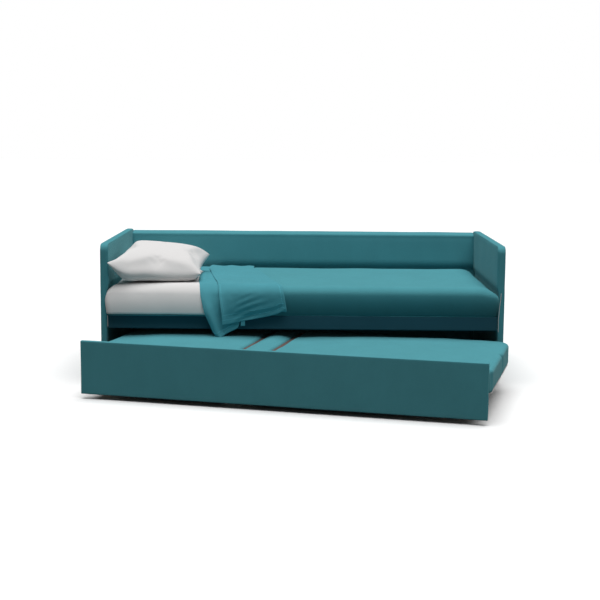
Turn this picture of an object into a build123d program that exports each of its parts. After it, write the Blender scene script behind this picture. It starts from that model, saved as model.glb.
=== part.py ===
from build123d import *
import math
import os

# Single sofa bed with low padded arms, a padded back and a second bed on castors beneath it.
# The second bed is pulled out and stands at an angle, with one rear corner still under the seat.
# Millimetres, +X to the right, +Y to the back, +Z up, floor at zero.
# While it is built, X zero is the middle of the sofa and Y zero is the front of its arms.

# Driving sizes of the sofa
overall_width = 2080.0
arm_height = 728.0
arm_pad_thickness = 40.0
arm_low_thickness = 33.0
arm_corner_radius = 38.0
arm_edge_radius = 11.0
arm_rear_corner_share = 0.5
arm_board_corner_share = 0.5
arm_board_thickness = 16.0
arm_board_margin = 13.0
pad_foot_height = 484.0
pad_swell_height = 40.0
glide_height = 58.0
glide_radius = 14.5
glide_tip_radius = 11.0
glide_inset = 100.0
glide_tip_rounding = 2.0

# Driving sizes of the back
back_top_drop = 4.0
back_thin = 62.0
back_thick = 96.0
back_low = 68.0
back_top_radius = 24.0
back_shoulder_radius = 9.0
back_board_thickness = 16.0
back_board_margin = 22.0
back_pad_lift = 8.0

# Driving sizes of the seat frame
rail_top = 364.0
rail_height = 73.0
rail_thickness = 34.0
rail_set_back = 2.0
rail_skin = 4.0
rail_edge_radius = 5.0
ledger_width = 28.0
ledger_height = 40.0
rear_rail_width = 27.0
rear_rail_height = 60.0
slat_thickness = 10.0
slat_width = 68.0
slat_gap = 52.0
slat_cap_wall = 2.0
slat_cap_length = 34.0
slat_edge_radius = 3.0

# Driving sizes of the fixings
bracket_leg = 46.0
bracket_height = 36.0
bracket_thickness = 3.0
bolt_radius = 3.0
bolt_head_radius = 6.0
bolt_head_height = 3.5
bolt_depth = 18.0
bolt_bore_gap = 0.3
bolt_round_share = 0.45

# Driving sizes of the upper mattress and its bedding
mattress_depth = 900.0
mattress_overhang = 25.0
mattress_back_gap = 9.0
mattress_edge_height = 141.0
mattress_crown = 20.0
mattress_end_radius = 42.0
mattress_edge_radius = 34.0
cushion_dip_share = 0.5
cushion_least_crown_share = 0.02
sheet_thickness = 2.5
sheet_reach = 515.0
pillow_length = 480.0
pillow_width = 510.0
pillow_height = 170.0
pillow_seam = 12.0
pillow_lean = 7.0
pillow_rise = 4.0
pillow_turn = 1.5
pillow_x_share = 0.258
pillow_y_share = 0.41
pillow_waist_share = 0.045
pillow_rim_share = 0.2
pillow_fall_power = 2.6
pillow_swell_power = 0.75
throw_thickness = 6.0
throw_left = 460.0
throw_width = 425.0
throw_reach = 700.0
throw_drop = 160.0
throw_layer_drop = 98.0
throw_fold_depth = 9.0
throw_fold_count = 5
throw_hollow_share = 0.25
throw_shift_share = 0.18
throw_under_share = 0.3
throw_lean_share = 0.36
throw_corner_share = 0.04

# Driving sizes of the pull-out bed
panel_side_gap = 14.5
panel_thickness = 22.0
panel_top_gap = 3.0
panel_floor_gap = 25.0
panel_skin = 4.0
panel_edge_radius = 3.0
panel_recess = 4.0
panel_bracket_shares = (0.12, 0.5, 0.88)
base_left = 35.0
base_right = 60.0
base_rear_gap = 68.0
base_rail_height = 50.0
base_rail_width = 28.0
base_edge_radius = 4.0
cross_bar_width = 60.0
cross_bar_height = 22.0
low_mattress_overhang = 20.0
low_mattress_edge_height = 106.0
low_mattress_crown = 11.0
low_mattress_end_radius = 60.0
low_mattress_edge_radius = 22.0
left_block_length = 702.0
middle_block_length = 124.0
block_end_share = 0.3
block_gap_left = 25.0
block_gap_right = 30.0

# Driving sizes of the castors
wheel_radius = 25.0
wheel_width = 20.0
wheel_crown = 1.6
hub_radius = 11.0
hub_recess = 2.5
axle_radius = 3.9
axle_head = 1.6
trail = 22.0
fork_sheet = 2.5
fork_side_gap = 1.5
fork_crown_radius = 17.0
fork_crown_height = 5.0
fork_clearance = 12.0
cheek_front_share = 0.7
cheek_back_share = 0.9
cheek_eye_share = 0.8
king_pin_radius = 4.6
bearing_radius = 18.0
bearing_height = 7.0
bearing_gap = 0.3
running_gap = 0.06
castor_plate = 56.0
castor_plate_thickness = 3.0
castor_screw_radius = 3.6
castor_screw_height = 2.0
castor_board = 128.0
castor_board_thickness = 15.0
castor_inset = 95.0

# Place of the pull-out bed
pull_travel = 865.5
pull_drift = 40.7
swing_angle = 14.8

# Clearances
soft_gap = 0.3
fit_gap = 0.3
overrun = 5.0

# Places that follow from the sizes above
half_width = overall_width / 2
overall_depth = mattress_depth - mattress_overhang + mattress_back_gap + back_thick
back_top = arm_height - back_top_drop
pad_inner = half_width - arm_pad_thickness
low_inner = half_width - arm_low_thickness
arm_bottom = glide_height
rail_bottom = rail_top - rail_height
slat_top = rail_top
slat_bottom = slat_top - slat_thickness
ledger_top = slat_bottom - slat_cap_wall
seat_plane = slat_top + slat_cap_wall + soft_gap
back_front_low = overall_depth - back_low
back_front_thick = overall_depth - back_thick
back_front_thin = overall_depth - back_thin
rail_back = rail_set_back + rail_thickness
rail_half_length = low_inner - fit_gap
mattress_half_length = pad_inner - soft_gap
mattress_front = -mattress_overhang
mattress_back = mattress_front + mattress_depth
mattress_edge_top = seat_plane + mattress_edge_height
sheet_end = -mattress_half_length + sheet_reach
panel_length = 2 * (low_inner - panel_side_gap)
panel_top = rail_bottom - panel_top_gap
base_end = panel_length - base_right
base_front = panel_thickness
base_back = overall_depth - back_low - base_rear_gap - panel_recess
castor_plate_bottom = wheel_radius * 2 + bearing_height + fork_crown_height * 2 + fork_clearance
base_bottom = castor_plate_bottom + castor_plate_thickness
base_top = base_bottom + base_rail_height
low_slat_top = base_top + slat_thickness
low_mattress_bottom = low_slat_top + soft_gap
castor_left = base_left + castor_inset
castor_right = base_end - castor_inset
castor_front = base_front + castor_inset
castor_rear = base_back - castor_inset


def slab(x0, x1, y0, y1, z0, z1):
    """A block between two corners."""
    block = Box(x1 - x0, y1 - y0, z1 - z0, align=(Align.MIN, Align.MIN, Align.MIN))
    return Pos(x0, y0, z0) * block


def rounded_slab(x0, x1, y0, y1, z0, z1, radius, axis):
    """A block whose four edges along one axis are rounded."""
    block = slab(x0, x1, y0, y1, z0, z1)
    return fillet(block.edges().filter_by(axis), radius)


def arc_between(start, through, end):
    """An arc through three points."""
    return ThreePointArc(start, through, end)


def corner_arc(start, corner, end):
    """A quarter turn from start to end, round the corner point they would meet at."""
    inward = 1 - math.sqrt(0.5)
    through = tuple(c + (s - c) * inward + (e - c) * inward for s, c, e in zip(start, corner, end))
    return ThreePointArc(start, through, end)


def soft_section(x, front, back, bottom, top, crown, radius):
    """A cushion's cut across its length: flat below, rounded edges, crowned above."""
    rear_low = (x, back - radius, bottom)
    rear_low_end = (x, back, bottom + radius)
    rear_high = (x, back, top - radius)
    rear_high_end = (x, back - radius, top)
    front_high = (x, front + radius, top)
    front_high_end = (x, front, top - radius)
    front_low = (x, front, bottom + radius)
    front_low_end = (x, front + radius, bottom)
    middle = (x, (front + back) / 2, top + crown)
    edges = [
        Line(front_low_end, rear_low),
        corner_arc(rear_low, (x, back, bottom), rear_low_end),
        Line(rear_low_end, rear_high),
        corner_arc(rear_high, (x, back, top), rear_high_end),
        arc_between(rear_high_end, middle, front_high),
        corner_arc(front_high, (x, front, top), front_high_end),
        Line(front_high_end, front_low),
        corner_arc(front_low, (x, front, bottom), front_low_end),
    ]
    return make_face(edges)


def cushion(left, right, front, back, bottom, top, crown, end_radius, edge_radius, inward=0.0):
    """A crowned cushion with drawn-in ends, as a loft of cuts across its length."""
    end_turns = 4
    body_cuts = 4
    stations = []
    run = right - left - 2 * end_radius
    for turn in range(end_turns):
        angle = math.radians(90 - 90 * turn / end_turns)
        stations.append((left + end_radius * (1 - math.sin(angle)), 1 - math.cos(angle)))
    for cut in range(body_cuts + 1):
        stations.append((left + end_radius + run * cut / body_cuts, 0.0))
    for turn in range(1, end_turns + 1):
        angle = math.radians(90 * turn / end_turns)
        stations.append((right - end_radius * (1 - math.sin(angle)), 1 - math.cos(angle)))
    cuts = []
    for x, draw in stations:
        along = (x - left) / (right - left) * 2 - 1
        rise = crown * (1 - along * along)
        pull = end_radius * draw
        dip = edge_radius * draw
        place = x + inward * (1 - (x - left) / (right - left) * 2)
        cuts.append(soft_section(
            place, front + pull + inward, back - pull - inward, bottom + dip * cushion_dip_share + inward,
            top - dip - inward, max(rise, crown * cushion_least_crown_share), edge_radius - inward,
        ))
    return loft(cuts, ruled=True)


def side_outline(margin, bottom):
    """The arm seen from the side: square at the foot, rounded at the top corners."""
    front = margin
    back = overall_depth - margin
    top = arm_height - margin
    round_front = arm_corner_radius - margin * arm_board_corner_share
    round_back = arm_corner_radius * arm_rear_corner_share
    edges = [
        Line((0, front, bottom), (0, back, bottom)),
        Line((0, back, bottom), (0, back, top - round_back)),
        corner_arc((0, back, top - round_back), (0, back, top), (0, back - round_back, top)),
        Line((0, back - round_back, top), (0, front + round_front, top)),
        corner_arc((0, front + round_front, top), (0, front, top), (0, front, top - round_front)),
        Line((0, front, top - round_front), (0, front, bottom)),
    ]
    return make_face(edges)


def across(face, x0, x1):
    """Carries a face drawn at X zero through from x0 to x1."""
    return extrude(Pos(x0, 0, 0) * face, amount=x1 - x0, dir=(1, 0, 0))


def right_arm_board():
    middle = (low_inner + half_width) / 2
    x0 = middle - arm_board_thickness / 2
    return across(side_outline(arm_board_margin, arm_bottom), x0, x0 + arm_board_thickness)


def right_arm_cover():
    """Foam and cloth round the board, thicker above the mattress."""
    cover = across(side_outline(0, arm_bottom), pad_inner, half_width)
    middle = (pad_inner + half_width) / 2
    half_thickness = arm_pad_thickness / 2
    rim = cover.edges().filter_by(lambda e: e.center().Z > arm_bottom + overrun)
    rim = rim.filter_by(lambda e: abs(e.center().X - middle) > half_thickness - fit_gap)
    cover = fillet(rim, arm_edge_radius)
    swell_top = pad_foot_height + pad_swell_height
    relief = make_face([
        Line((pad_inner - overrun, 0, 0), (low_inner, 0, 0)),
        Line((low_inner, 0, 0), (low_inner, 0, pad_foot_height)),
        Line((low_inner, 0, pad_foot_height), (pad_inner - overrun, 0, swell_top + overrun)),
        Line((pad_inner - overrun, 0, swell_top + overrun), (pad_inner - overrun, 0, 0)),
    ])
    groove = extrude(Pos(0, -overrun, 0) * relief, amount=overall_depth + 2 * overrun, dir=(0, 1, 0))
    return cover - groove - right_arm_board()


def back_outline():
    """The back seen from the side: thickest just over the mattress, slimmer at the top."""
    low = glide_height
    step = seat_plane + back_pad_lift
    front_round = (0, back_front_thin + back_top_radius, back_top)
    front_start = (0, back_front_thin, back_top - back_top_radius)
    rear_round = (0, overall_depth - back_top_radius, back_top)
    rear_end = (0, overall_depth, back_top - back_top_radius)
    edges = [
        Line((0, overall_depth, low), (0, back_front_low, low)),
        Line((0, back_front_low, low), (0, back_front_low, step)),
        Line((0, back_front_low, step), (0, back_front_thick, step + back_pad_lift)),
        Line((0, back_front_thick, step + back_pad_lift), front_start),
        corner_arc(front_start, (0, back_front_thin, back_top), front_round),
        Line(front_round, rear_round),
        corner_arc(rear_round, (0, overall_depth, back_top), rear_end),
        Line(rear_end, (0, overall_depth, low)),
    ]
    return make_face(edges)


def back_board():
    half = pad_inner - back_board_margin
    rear = overall_depth - back_board_margin
    front = rear - back_board_thickness
    return slab(-half, half, front, rear, glide_height, back_top - back_board_margin)


def back_cover():
    """Padded back between the arms, with softened shoulders."""
    half = pad_inner - fit_gap
    cover = across(back_outline(), -half, half)
    shoulders = slab(-half, half, 0, overall_depth, glide_height, back_top)
    shoulders = fillet(shoulders.edges().filter_by(Axis.Y).group_by(Axis.Z)[-1], back_shoulder_radius)
    cover = cover & shoulders
    return cover - back_board()


def front_rail_board():
    return slab(
        -rail_half_length, rail_half_length, rail_set_back + rail_skin, rail_back - rail_skin,
        rail_bottom + rail_skin, rail_top - rail_skin,
    )


def front_rail_cover():
    cover = rounded_slab(
        -rail_half_length, rail_half_length, rail_set_back, rail_back, rail_bottom, rail_top,
        rail_edge_radius, Axis.X,
    )
    return cover - front_rail_board()


def front_ledger():
    low = ledger_top - ledger_height
    return slab(-rail_half_length, rail_half_length, rail_back, rail_back + ledger_width, low, ledger_top)


def rear_rail():
    y1 = back_front_low - fit_gap
    half = pad_inner - fit_gap
    return slab(-half, half, y1 - rear_rail_width, y1, ledger_top - rear_rail_height, ledger_top)


def slat_places(length):
    """Middles of the slats along a bed of this length."""
    count = int((length + slat_gap) // (slat_width + slat_gap))
    pitch = length / count
    return [pitch * (n + 0.5) for n in range(count)]


def slat_row(places, front, back, bottom):
    """Round-edged slats lying front to back."""
    one = rounded_slab(
        -slat_width / 2, slat_width / 2, front, back, bottom, bottom + slat_thickness,
        slat_edge_radius, Axis.Y,
    )
    return [Pos(x, 0, 0) * one for x in places]


def slat_caps(places, front, back, bottom):
    """Plastic end caps that hold the slats on their rails."""
    half = slat_width / 2 + slat_cap_wall
    top = bottom + slat_thickness + slat_cap_wall
    low = bottom - slat_cap_wall
    pocket = slat_row([0], front, back, bottom)[0]
    caps = []
    front_cap = (front - slat_cap_wall, front + slat_cap_length)
    back_cap = (back - slat_cap_length, back + slat_cap_wall)
    for y0, y1 in (front_cap, back_cap):
        cap = rounded_slab(-half, half, y0, y1, low, top, slat_cap_wall, Axis.Y)
        for x in places:
            caps.append(Pos(x, 0, 0) * (cap - pocket))
    return caps


upper_slat_front = rail_back + slat_cap_wall + fit_gap
upper_slat_back = back_front_low - slat_cap_wall - 2 * fit_gap
upper_slat_places = [x - rail_half_length for x in slat_places(2 * rail_half_length)]


def corner_bracket():
    """Steel angle in the front right corner, between the ledger and the arm."""
    x1 = rail_half_length
    y0 = rail_back + ledger_width
    z0 = ledger_top - ledger_height
    arm_leg = slab(x1 - bracket_thickness, x1, y0, y0 + bracket_leg, z0, z0 + bracket_height)
    rail_leg = slab(x1 - bracket_leg, x1, y0, y0 + bracket_thickness, z0, z0 + bracket_height)
    return arm_leg + rail_leg


def bracket_bolt():
    """Round-headed bolt, head below and shank upwards, from its seat at the origin."""
    head = Pos(0, 0, -bolt_head_height / 2) * Cylinder(bolt_head_radius, bolt_head_height)
    head = fillet(head.edges().group_by(Axis.Z)[0], bolt_head_height * bolt_round_share)
    shank = Pos(0, 0, bolt_depth / 2) * Cylinder(bolt_radius, bolt_depth)
    return head + shank


def bracket_bolts():
    """The bolts of the front right bracket: one into the arm, one into the ledger."""
    x_seat = rail_half_length - bracket_thickness
    y_seat = rail_back + ledger_width + bracket_thickness
    z = ledger_top - ledger_height + bracket_height / 2
    into_arm = Pos(x_seat, y_seat + bracket_leg / 2, z) * Rot(0, 90, 0) * bracket_bolt()
    into_rail = Pos(x_seat - bracket_leg / 2, y_seat, z) * Rot(90, 0, 0) * bracket_bolt()
    return [into_arm, into_rail]


def mirrored(pieces):
    """The pieces and their mirror images on the left."""
    return pieces + [mirror(piece, about=Plane.YZ) for piece in pieces]


def rear_bracket_set():
    """The same angle and bolts at the rear rail, turned to face forwards."""
    y_mid = (rail_back + ledger_width + back_front_low - fit_gap - rear_rail_width) / 2
    swap = Plane.XZ.offset(-y_mid)
    x_shift = pad_inner - fit_gap - rail_half_length
    bracket = Pos(x_shift, 0, 0) * mirror(corner_bracket(), about=swap)
    return bracket, [Pos(x_shift, 0, 0) * mirror(bolt, about=swap) for bolt in bracket_bolts()]


def bored(piece, bolts):
    """A piece with a hole for each bolt's shank."""
    for bolt in bolts:
        box = bolt.bounding_box()
        centre = box.center()
        along_x = box.size.X > box.size.Y
        turn = Rot(0, 90, 0) if along_x else Rot(90, 0, 0)
        reach = max(box.size.X, box.size.Y) + overrun
        hole = Pos(centre.X, centre.Y, centre.Z) * turn * Cylinder(bolt_radius + bolt_bore_gap, reach)
        piece = piece - hole
    return piece


def glide():
    """Tapered foot, its tip rounded at the floor."""
    foot = Pos(0, 0, glide_height / 2) * Cone(glide_tip_radius, glide_radius, glide_height)
    return fillet(foot.edges().group_by(Axis.Z)[0], glide_tip_rounding)


def glides():
    x = (low_inner + half_width) / 2
    places = [(side * x, y) for side in (-1, 1) for y in (glide_inset, overall_depth - glide_inset)]
    places.append((0, overall_depth - back_low / 2))
    return [Pos(px, py, 0) * glide() for px, py in places]


def upper_mattress_form(inward=0.0):
    return cushion(
        -mattress_half_length, mattress_half_length, mattress_front, mattress_back,
        seat_plane, mattress_edge_top, mattress_crown, mattress_end_radius, mattress_edge_radius, inward,
    )


def beyond(x):
    """Space to the right of a cut across the mattress."""
    return slab(x, half_width, mattress_front - overrun, mattress_back + overrun, 0, arm_height)


def upper_mattress():
    """Mattress, set in by the sheet where the sheet lies over it."""
    bare = upper_mattress_form() & beyond(sheet_end)
    sheeted = upper_mattress_form(sheet_thickness) - beyond(sheet_end)
    return bare + sheeted


def fitted_sheet():
    skin = upper_mattress_form() - beyond(sheet_end - fit_gap)
    return skin - upper_mattress_form(sheet_thickness - soft_gap)


def pillow_section(x, thickness, half_depth):
    rim = pillow_seam / 2
    edges = [
        arc_between((x, -half_depth, -rim), (x, 0, -rim - thickness / 2), (x, half_depth, -rim)),
        Line((x, half_depth, -rim), (x, half_depth, rim)),
        arc_between((x, half_depth, rim), (x, 0, rim + thickness / 2), (x, -half_depth, rim)),
        Line((x, -half_depth, rim), (x, -half_depth, -rim)),
    ]
    return make_face(edges)


def settle(piece, support, gap):
    """Lowers a piece until it lies just clear of what carries it."""
    rounds = 6
    for _ in range(rounds):
        drop = piece.distance_to(support) - gap
        piece = Pos(0, 0, -drop) * piece
    return piece


def pillow(support):
    """Plump pillow, leaning on the left arm, with corners that stand out a little."""
    cut_shares = (-1.0, -0.93, -0.8, -0.6, -0.3, 0.0, 0.3, 0.6, 0.8, 0.93, 1.0)
    cuts = []
    for share in cut_shares:
        swell = (1 - abs(share) ** pillow_fall_power) ** pillow_swell_power
        waist = 1 - pillow_waist_share * (1 - share * share)
        thickness = (pillow_height - pillow_seam) * swell + pillow_seam * pillow_rim_share
        cuts.append(pillow_section(share * pillow_length / 2, thickness, pillow_width / 2 * waist))
    form = loft(cuts, ruled=True)
    form = Rot(pillow_rise, pillow_lean, pillow_turn) * form
    x = -mattress_half_length + pillow_x_share * mattress_half_length
    y = mattress_front + pillow_y_share * mattress_depth
    form = Pos(x, y, mattress_edge_top + mattress_crown + pillow_height) * form
    return settle(form, support, soft_gap)


def throw_plan(front, left, right, depth, folds):
    """The hanging cloth seen from above: arcs to and fro, one for each fold."""
    pitch = (right - left) / folds
    outer = []
    inner = []
    for n in range(folds):
        start = left + n * pitch
        end = start + pitch
        bulge = depth if n % 2 == 0 else depth * throw_hollow_share
        outer.append(arc_between((start, front, 0), (start + pitch / 2, front - bulge, 0), (end, front, 0)))
    inner.append(Line((right, front, 0), (right, front + throw_thickness, 0)))
    inner.append(Line((right, front + throw_thickness, 0), (left, front + throw_thickness, 0)))
    inner.append(Line((left, front + throw_thickness, 0), (left, front, 0)))
    return make_face(outer + inner)


def crown_height(y):
    """Height of the mattress top at its middle, at this distance from the front."""
    half = mattress_depth / 2 - mattress_edge_radius
    radius = (half * half + mattress_crown * mattress_crown) / (2 * mattress_crown)
    off = y - (mattress_front + mattress_back) / 2
    return mattress_edge_top + mattress_crown - radius + math.sqrt(radius * radius - off * off)


def throw_over():
    """The part of the throw on top of the mattress and over its front edge, as one bent strip."""
    front = mattress_front - soft_gap
    outside = front - throw_thickness
    bend = mattress_edge_radius + soft_gap
    bend_out = bend + throw_thickness
    low = mattress_edge_top - mattress_edge_radius
    high = mattress_edge_top + soft_gap
    high_out = high + throw_thickness
    back = mattress_front + throw_reach
    end = crown_height(back) + soft_gap
    middle = mattress_front + throw_reach / 2
    crest = crown_height(middle) + soft_gap
    edges = [
        Line((0, front, low), (0, outside, low)),
        corner_arc((0, outside, low), (0, outside, high_out), (0, outside + bend_out, high_out)),
        arc_between((0, outside + bend_out, high_out), (0, middle, crest + throw_thickness),
                    (0, back, end + throw_thickness)),
        Line((0, back, end + throw_thickness), (0, back, end)),
        arc_between((0, back, end), (0, middle, crest), (0, front + bend, high)),
        corner_arc((0, front + bend, high), (0, front, high), (0, front, low)),
    ]
    return make_face(edges)


def throw_blanket():
    """Folded throw over the mattress, hanging down the front in folds, the near layer shorter."""
    left = -throw_left - throw_width * throw_shift_share
    right = left + throw_width
    strip = across(throw_over(), left, right)
    top_z = mattress_edge_top - mattress_edge_radius
    front = mattress_front - soft_gap - throw_thickness
    parting = left + throw_width * throw_under_share
    under_plan = throw_plan(front, left, parting, throw_fold_depth, 1)
    under = extrude(Pos(0, 0, top_z - throw_drop) * under_plan, amount=throw_drop, dir=(0, 0, 1))
    over_plan = throw_plan(front, parting, right, throw_fold_depth, throw_fold_count)
    over = extrude(Pos(0, 0, top_z - throw_layer_drop) * over_plan, amount=throw_layer_drop, dir=(0, 0, 1))
    cloth = strip + under + over
    lean = throw_width * throw_lean_share
    corner = mattress_front + throw_reach * throw_corner_share
    beyond_end = mattress_front + throw_reach + overrun
    cut = make_face(Polyline(
        (right, corner, 0), (right + overrun, corner, 0), (right + overrun, beyond_end, 0),
        (right - lean, beyond_end, 0), (right, corner, 0),
    ))
    return cloth - extrude(cut, amount=arm_height, dir=(0, 0, 1))


def panel_board():
    return slab(
        panel_skin, panel_length - panel_skin, panel_skin, panel_thickness - panel_skin,
        panel_floor_gap + panel_skin, panel_top - panel_skin,
    )


def panel_cover():
    cover = slab(0, panel_length, 0, panel_thickness, panel_floor_gap, panel_top)
    cover = fillet(cover.edges(), panel_edge_radius)
    return cover - panel_board()


def base_long_rail(front):
    return rounded_slab(
        base_left, base_end, front, front + base_rail_width,
        base_bottom, base_top, base_edge_radius, Axis.X,
    )


def base_end_rail(left):
    return rounded_slab(
        left, left + base_rail_width,
        base_front + base_rail_width + fit_gap, base_back - base_rail_width - fit_gap,
        base_bottom, base_top, base_edge_radius, Axis.Y,
    )


def cross_bar(middle):
    return slab(
        middle - cross_bar_width / 2, middle + cross_bar_width / 2, base_front + base_rail_width,
        base_back - base_rail_width, base_top - cross_bar_height, base_top,
    )


def castor_boards():
    """A board in each corner of the base, which the castor plates screw to."""
    boards = []
    for x0 in (base_left + base_rail_width, base_end - base_rail_width - castor_board):
        for y0 in (base_front + base_rail_width, base_back - base_rail_width - castor_board):
            top = base_bottom + castor_board_thickness
            boards.append(slab(x0, x0 + castor_board, y0, y0 + castor_board, base_bottom, top))
    return boards


def panel_brackets():
    """Steel angles between the panel's back and the base's front rail, behind the panel."""
    angles = []
    for share in panel_bracket_shares:
        x = base_left + (base_end - base_left) * share
        upright = slab(
            x - bracket_leg / 2, x + bracket_leg / 2, base_front, base_front + bracket_thickness,
            base_bottom - bracket_height - bracket_thickness, base_bottom,
        )
        foot = slab(
            x - bracket_leg / 2, x + bracket_leg / 2, base_front, base_front + base_rail_width,
            base_bottom - bracket_thickness, base_bottom,
        )
        angles.append(upright + foot)
    return angles


low_slat_places = [x + base_left for x in slat_places(base_end - base_left)]
low_slat_front = base_front + slat_cap_wall + fit_gap
low_slat_back = base_back - slat_cap_wall


def low_block(left, right):
    """One of the three mattress blocks of the pull-out bed."""
    length = right - left
    end_radius = min(low_mattress_end_radius, length * block_end_share)
    return cushion(
        left, right, base_front + soft_gap + fit_gap, base_back - soft_gap,
        low_mattress_bottom + slat_cap_wall, low_mattress_bottom + low_mattress_edge_height,
        low_mattress_crown, end_radius, low_mattress_edge_radius,
    )


def low_blocks():
    left_end = base_left + left_block_length
    middle_start = left_end + block_gap_left
    middle_end = middle_start + middle_block_length
    right_start = middle_end + block_gap_right
    return (
        low_block(base_left, left_end),
        low_block(middle_start, middle_end),
        low_block(right_start, base_end + low_mattress_overhang),
    )


def castor_plate_piece():
    """Fixed top plate of a castor with its bearing cup, from the swivel axis."""
    half = castor_plate / 2
    z1 = base_bottom
    plate = rounded_slab(
        -half, half, -half, half, castor_plate_bottom, z1, castor_plate_thickness, Axis.Z,
    )
    cup = Pos(0, 0, castor_plate_bottom - bearing_height / 2) * Cylinder(bearing_radius, bearing_height)
    socket = Pos(0, 0, castor_plate_bottom - bearing_height / 2)
    socket = socket * Cylinder(king_pin_radius + running_gap, bearing_height)
    return plate + cup - socket


def castor_screws():
    reach = castor_plate / 2 - castor_screw_radius * 2
    heads = []
    for sx in (-1, 1):
        for sy in (-1, 1):
            head = Pos(sx * reach, sy * reach, castor_plate_bottom - castor_screw_height / 2)
            heads.append(head * Cylinder(castor_screw_radius, castor_screw_height))
    return heads


def castor_fork():
    """Swivelling fork: crown, king pin and two cheeks that trail behind the pin."""
    crown_top = castor_plate_bottom - bearing_height - bearing_gap
    crown_low = crown_top - fork_crown_height
    crown = Pos(0, 0, (crown_top + crown_low) / 2) * Cylinder(fork_crown_radius, fork_crown_height)
    pin_top = castor_plate_bottom - bearing_gap
    pin = Pos(0, 0, (pin_top + crown_top) / 2) * Cylinder(king_pin_radius, pin_top - crown_top)
    inner = wheel_width / 2 + fork_side_gap
    front = -fork_crown_radius * cheek_front_share
    back = fork_crown_radius * cheek_back_share
    eye = hub_radius * cheek_eye_share
    cheek_outline = make_face([
        Line((0, front, crown_top), (0, back, crown_top)),
        Line((0, back, crown_top), (0, trail + eye, wheel_radius)),
        arc_between((0, trail + eye, wheel_radius), (0, trail, wheel_radius - eye),
                    (0, trail - eye, wheel_radius)),
        Line((0, trail - eye, wheel_radius), (0, front, crown_low)),
        Line((0, front, crown_low), (0, front, crown_top)),
    ])
    right_cheek = across(cheek_outline, inner, inner + fork_sheet)
    left_cheek = across(cheek_outline, -inner - fork_sheet, -inner)
    bore = Cylinder(axle_radius, 2 * (inner + fork_sheet + overrun))
    bore = Pos(0, trail, wheel_radius) * Rot(0, 90, 0) * bore
    return crown + pin + right_cheek + left_cheek - bore


def castor_axle():
    half = wheel_width / 2 + fork_side_gap + fork_sheet
    pin = Cylinder(axle_radius, 2 * half)
    head = Cylinder(axle_radius + axle_head, axle_head)
    axle = pin + Pos(0, 0, half + axle_head / 2) * head + Pos(0, 0, -half - axle_head / 2) * head
    return Pos(0, trail, wheel_radius) * Rot(0, 90, 0) * axle


def castor_wheel():
    """Moulded wheel, turned from its half section: crowned tread, dished sides, bore."""
    half = wheel_width / 2
    dish = half - hub_recess
    bore = axle_radius + running_gap
    shoulder = wheel_radius - wheel_crown
    dish_rim = wheel_radius - 2 * hub_recess
    hub_foot = hub_radius + hub_recess
    section = make_face([
        Line((bore, 0, -half), (hub_radius, 0, -half)),
        Line((hub_radius, 0, -half), (hub_foot, 0, -dish)),
        Line((hub_foot, 0, -dish), (dish_rim, 0, -dish)),
        Line((dish_rim, 0, -dish), (shoulder, 0, -half)),
        arc_between((shoulder, 0, -half), (wheel_radius, 0, 0), (shoulder, 0, half)),
        Line((shoulder, 0, half), (dish_rim, 0, dish)),
        Line((dish_rim, 0, dish), (hub_foot, 0, dish)),
        Line((hub_foot, 0, dish), (hub_radius, 0, half)),
        Line((hub_radius, 0, half), (bore, 0, half)),
        Line((bore, 0, half), (bore, 0, -half)),
    ])
    wheel = revolve(section, axis=Axis.Z)
    return Pos(0, trail, wheel_radius) * Rot(0, 90, 0) * wheel


# Where the pull-out bed stands: its rear right castor is the point that it swings about
closed_pivot = (-panel_length / 2 + castor_right, panel_recess + castor_rear)
open_pivot = (closed_pivot[0] + pull_drift, closed_pivot[1] - pull_travel)
pull_heading = math.degrees(math.atan2(pull_drift, pull_travel))


def pulled_out(piece):
    """Takes a piece from the pull-out bed's own place to where the bed stands."""
    home = Pos(-castor_right, -castor_rear, 0)
    return Pos(open_pivot[0], open_pivot[1], 0) * Rot(0, 0, -swing_angle) * home * piece


def castor_stand(x, y):
    """The place of a castor's swivel axis on the floor, with its fork trailing behind."""
    spot = pulled_out(Vertex(x, y, 0)).center()
    return Pos(spot.X, spot.Y, 0) * Rot(0, 0, pull_heading)


castor_places = {
    "front_left": (castor_left, castor_front),
    "front_right": (castor_right, castor_front),
    "rear_left": (castor_left, castor_rear),
    "rear_right": (castor_right, castor_rear),
}


def sofa_parts():
    """Everything that stays with the sofa."""
    front_bracket = corner_bracket()
    front_bolts = bracket_bolts()
    rear_bracket, rear_bolts = rear_bracket_set()
    right_bolts = front_bolts + rear_bolts
    all_bolts = mirrored(right_bolts)
    right_board = bored(right_arm_board(), right_bolts)
    right_cover = bored(right_arm_cover(), right_bolts)
    mattress = upper_mattress()
    sheet = fitted_sheet()
    resting = mattress + sheet
    brackets = mirrored([bored(front_bracket, front_bolts), bored(rear_bracket, rear_bolts)])
    return {
        "left_arm_board": mirror(right_board, about=Plane.YZ),
        "right_arm_board": right_board,
        "left_arm_cover": mirror(right_cover, about=Plane.YZ),
        "right_arm_cover": right_cover,
        "back_board": back_board(),
        "back_cover": back_cover(),
        "front_rail_board": bored(front_rail_board(), all_bolts),
        "front_rail_cover": bored(front_rail_cover(), all_bolts),
        "front_ledger": bored(front_ledger(), all_bolts),
        "rear_rail": bored(rear_rail(), all_bolts),
        "upper_slats": slat_row(upper_slat_places, upper_slat_front, upper_slat_back, slat_bottom),
        "upper_slat_caps": slat_caps(upper_slat_places, upper_slat_front, upper_slat_back, slat_bottom),
        "corner_brackets": brackets,
        "bracket_bolts": all_bolts,
        "floor_glides": glides(),
        "upper_mattress": mattress,
        "fitted_sheet": sheet,
        "pillow": pillow(resting),
        "throw_blanket": throw_blanket(),
    }


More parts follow.
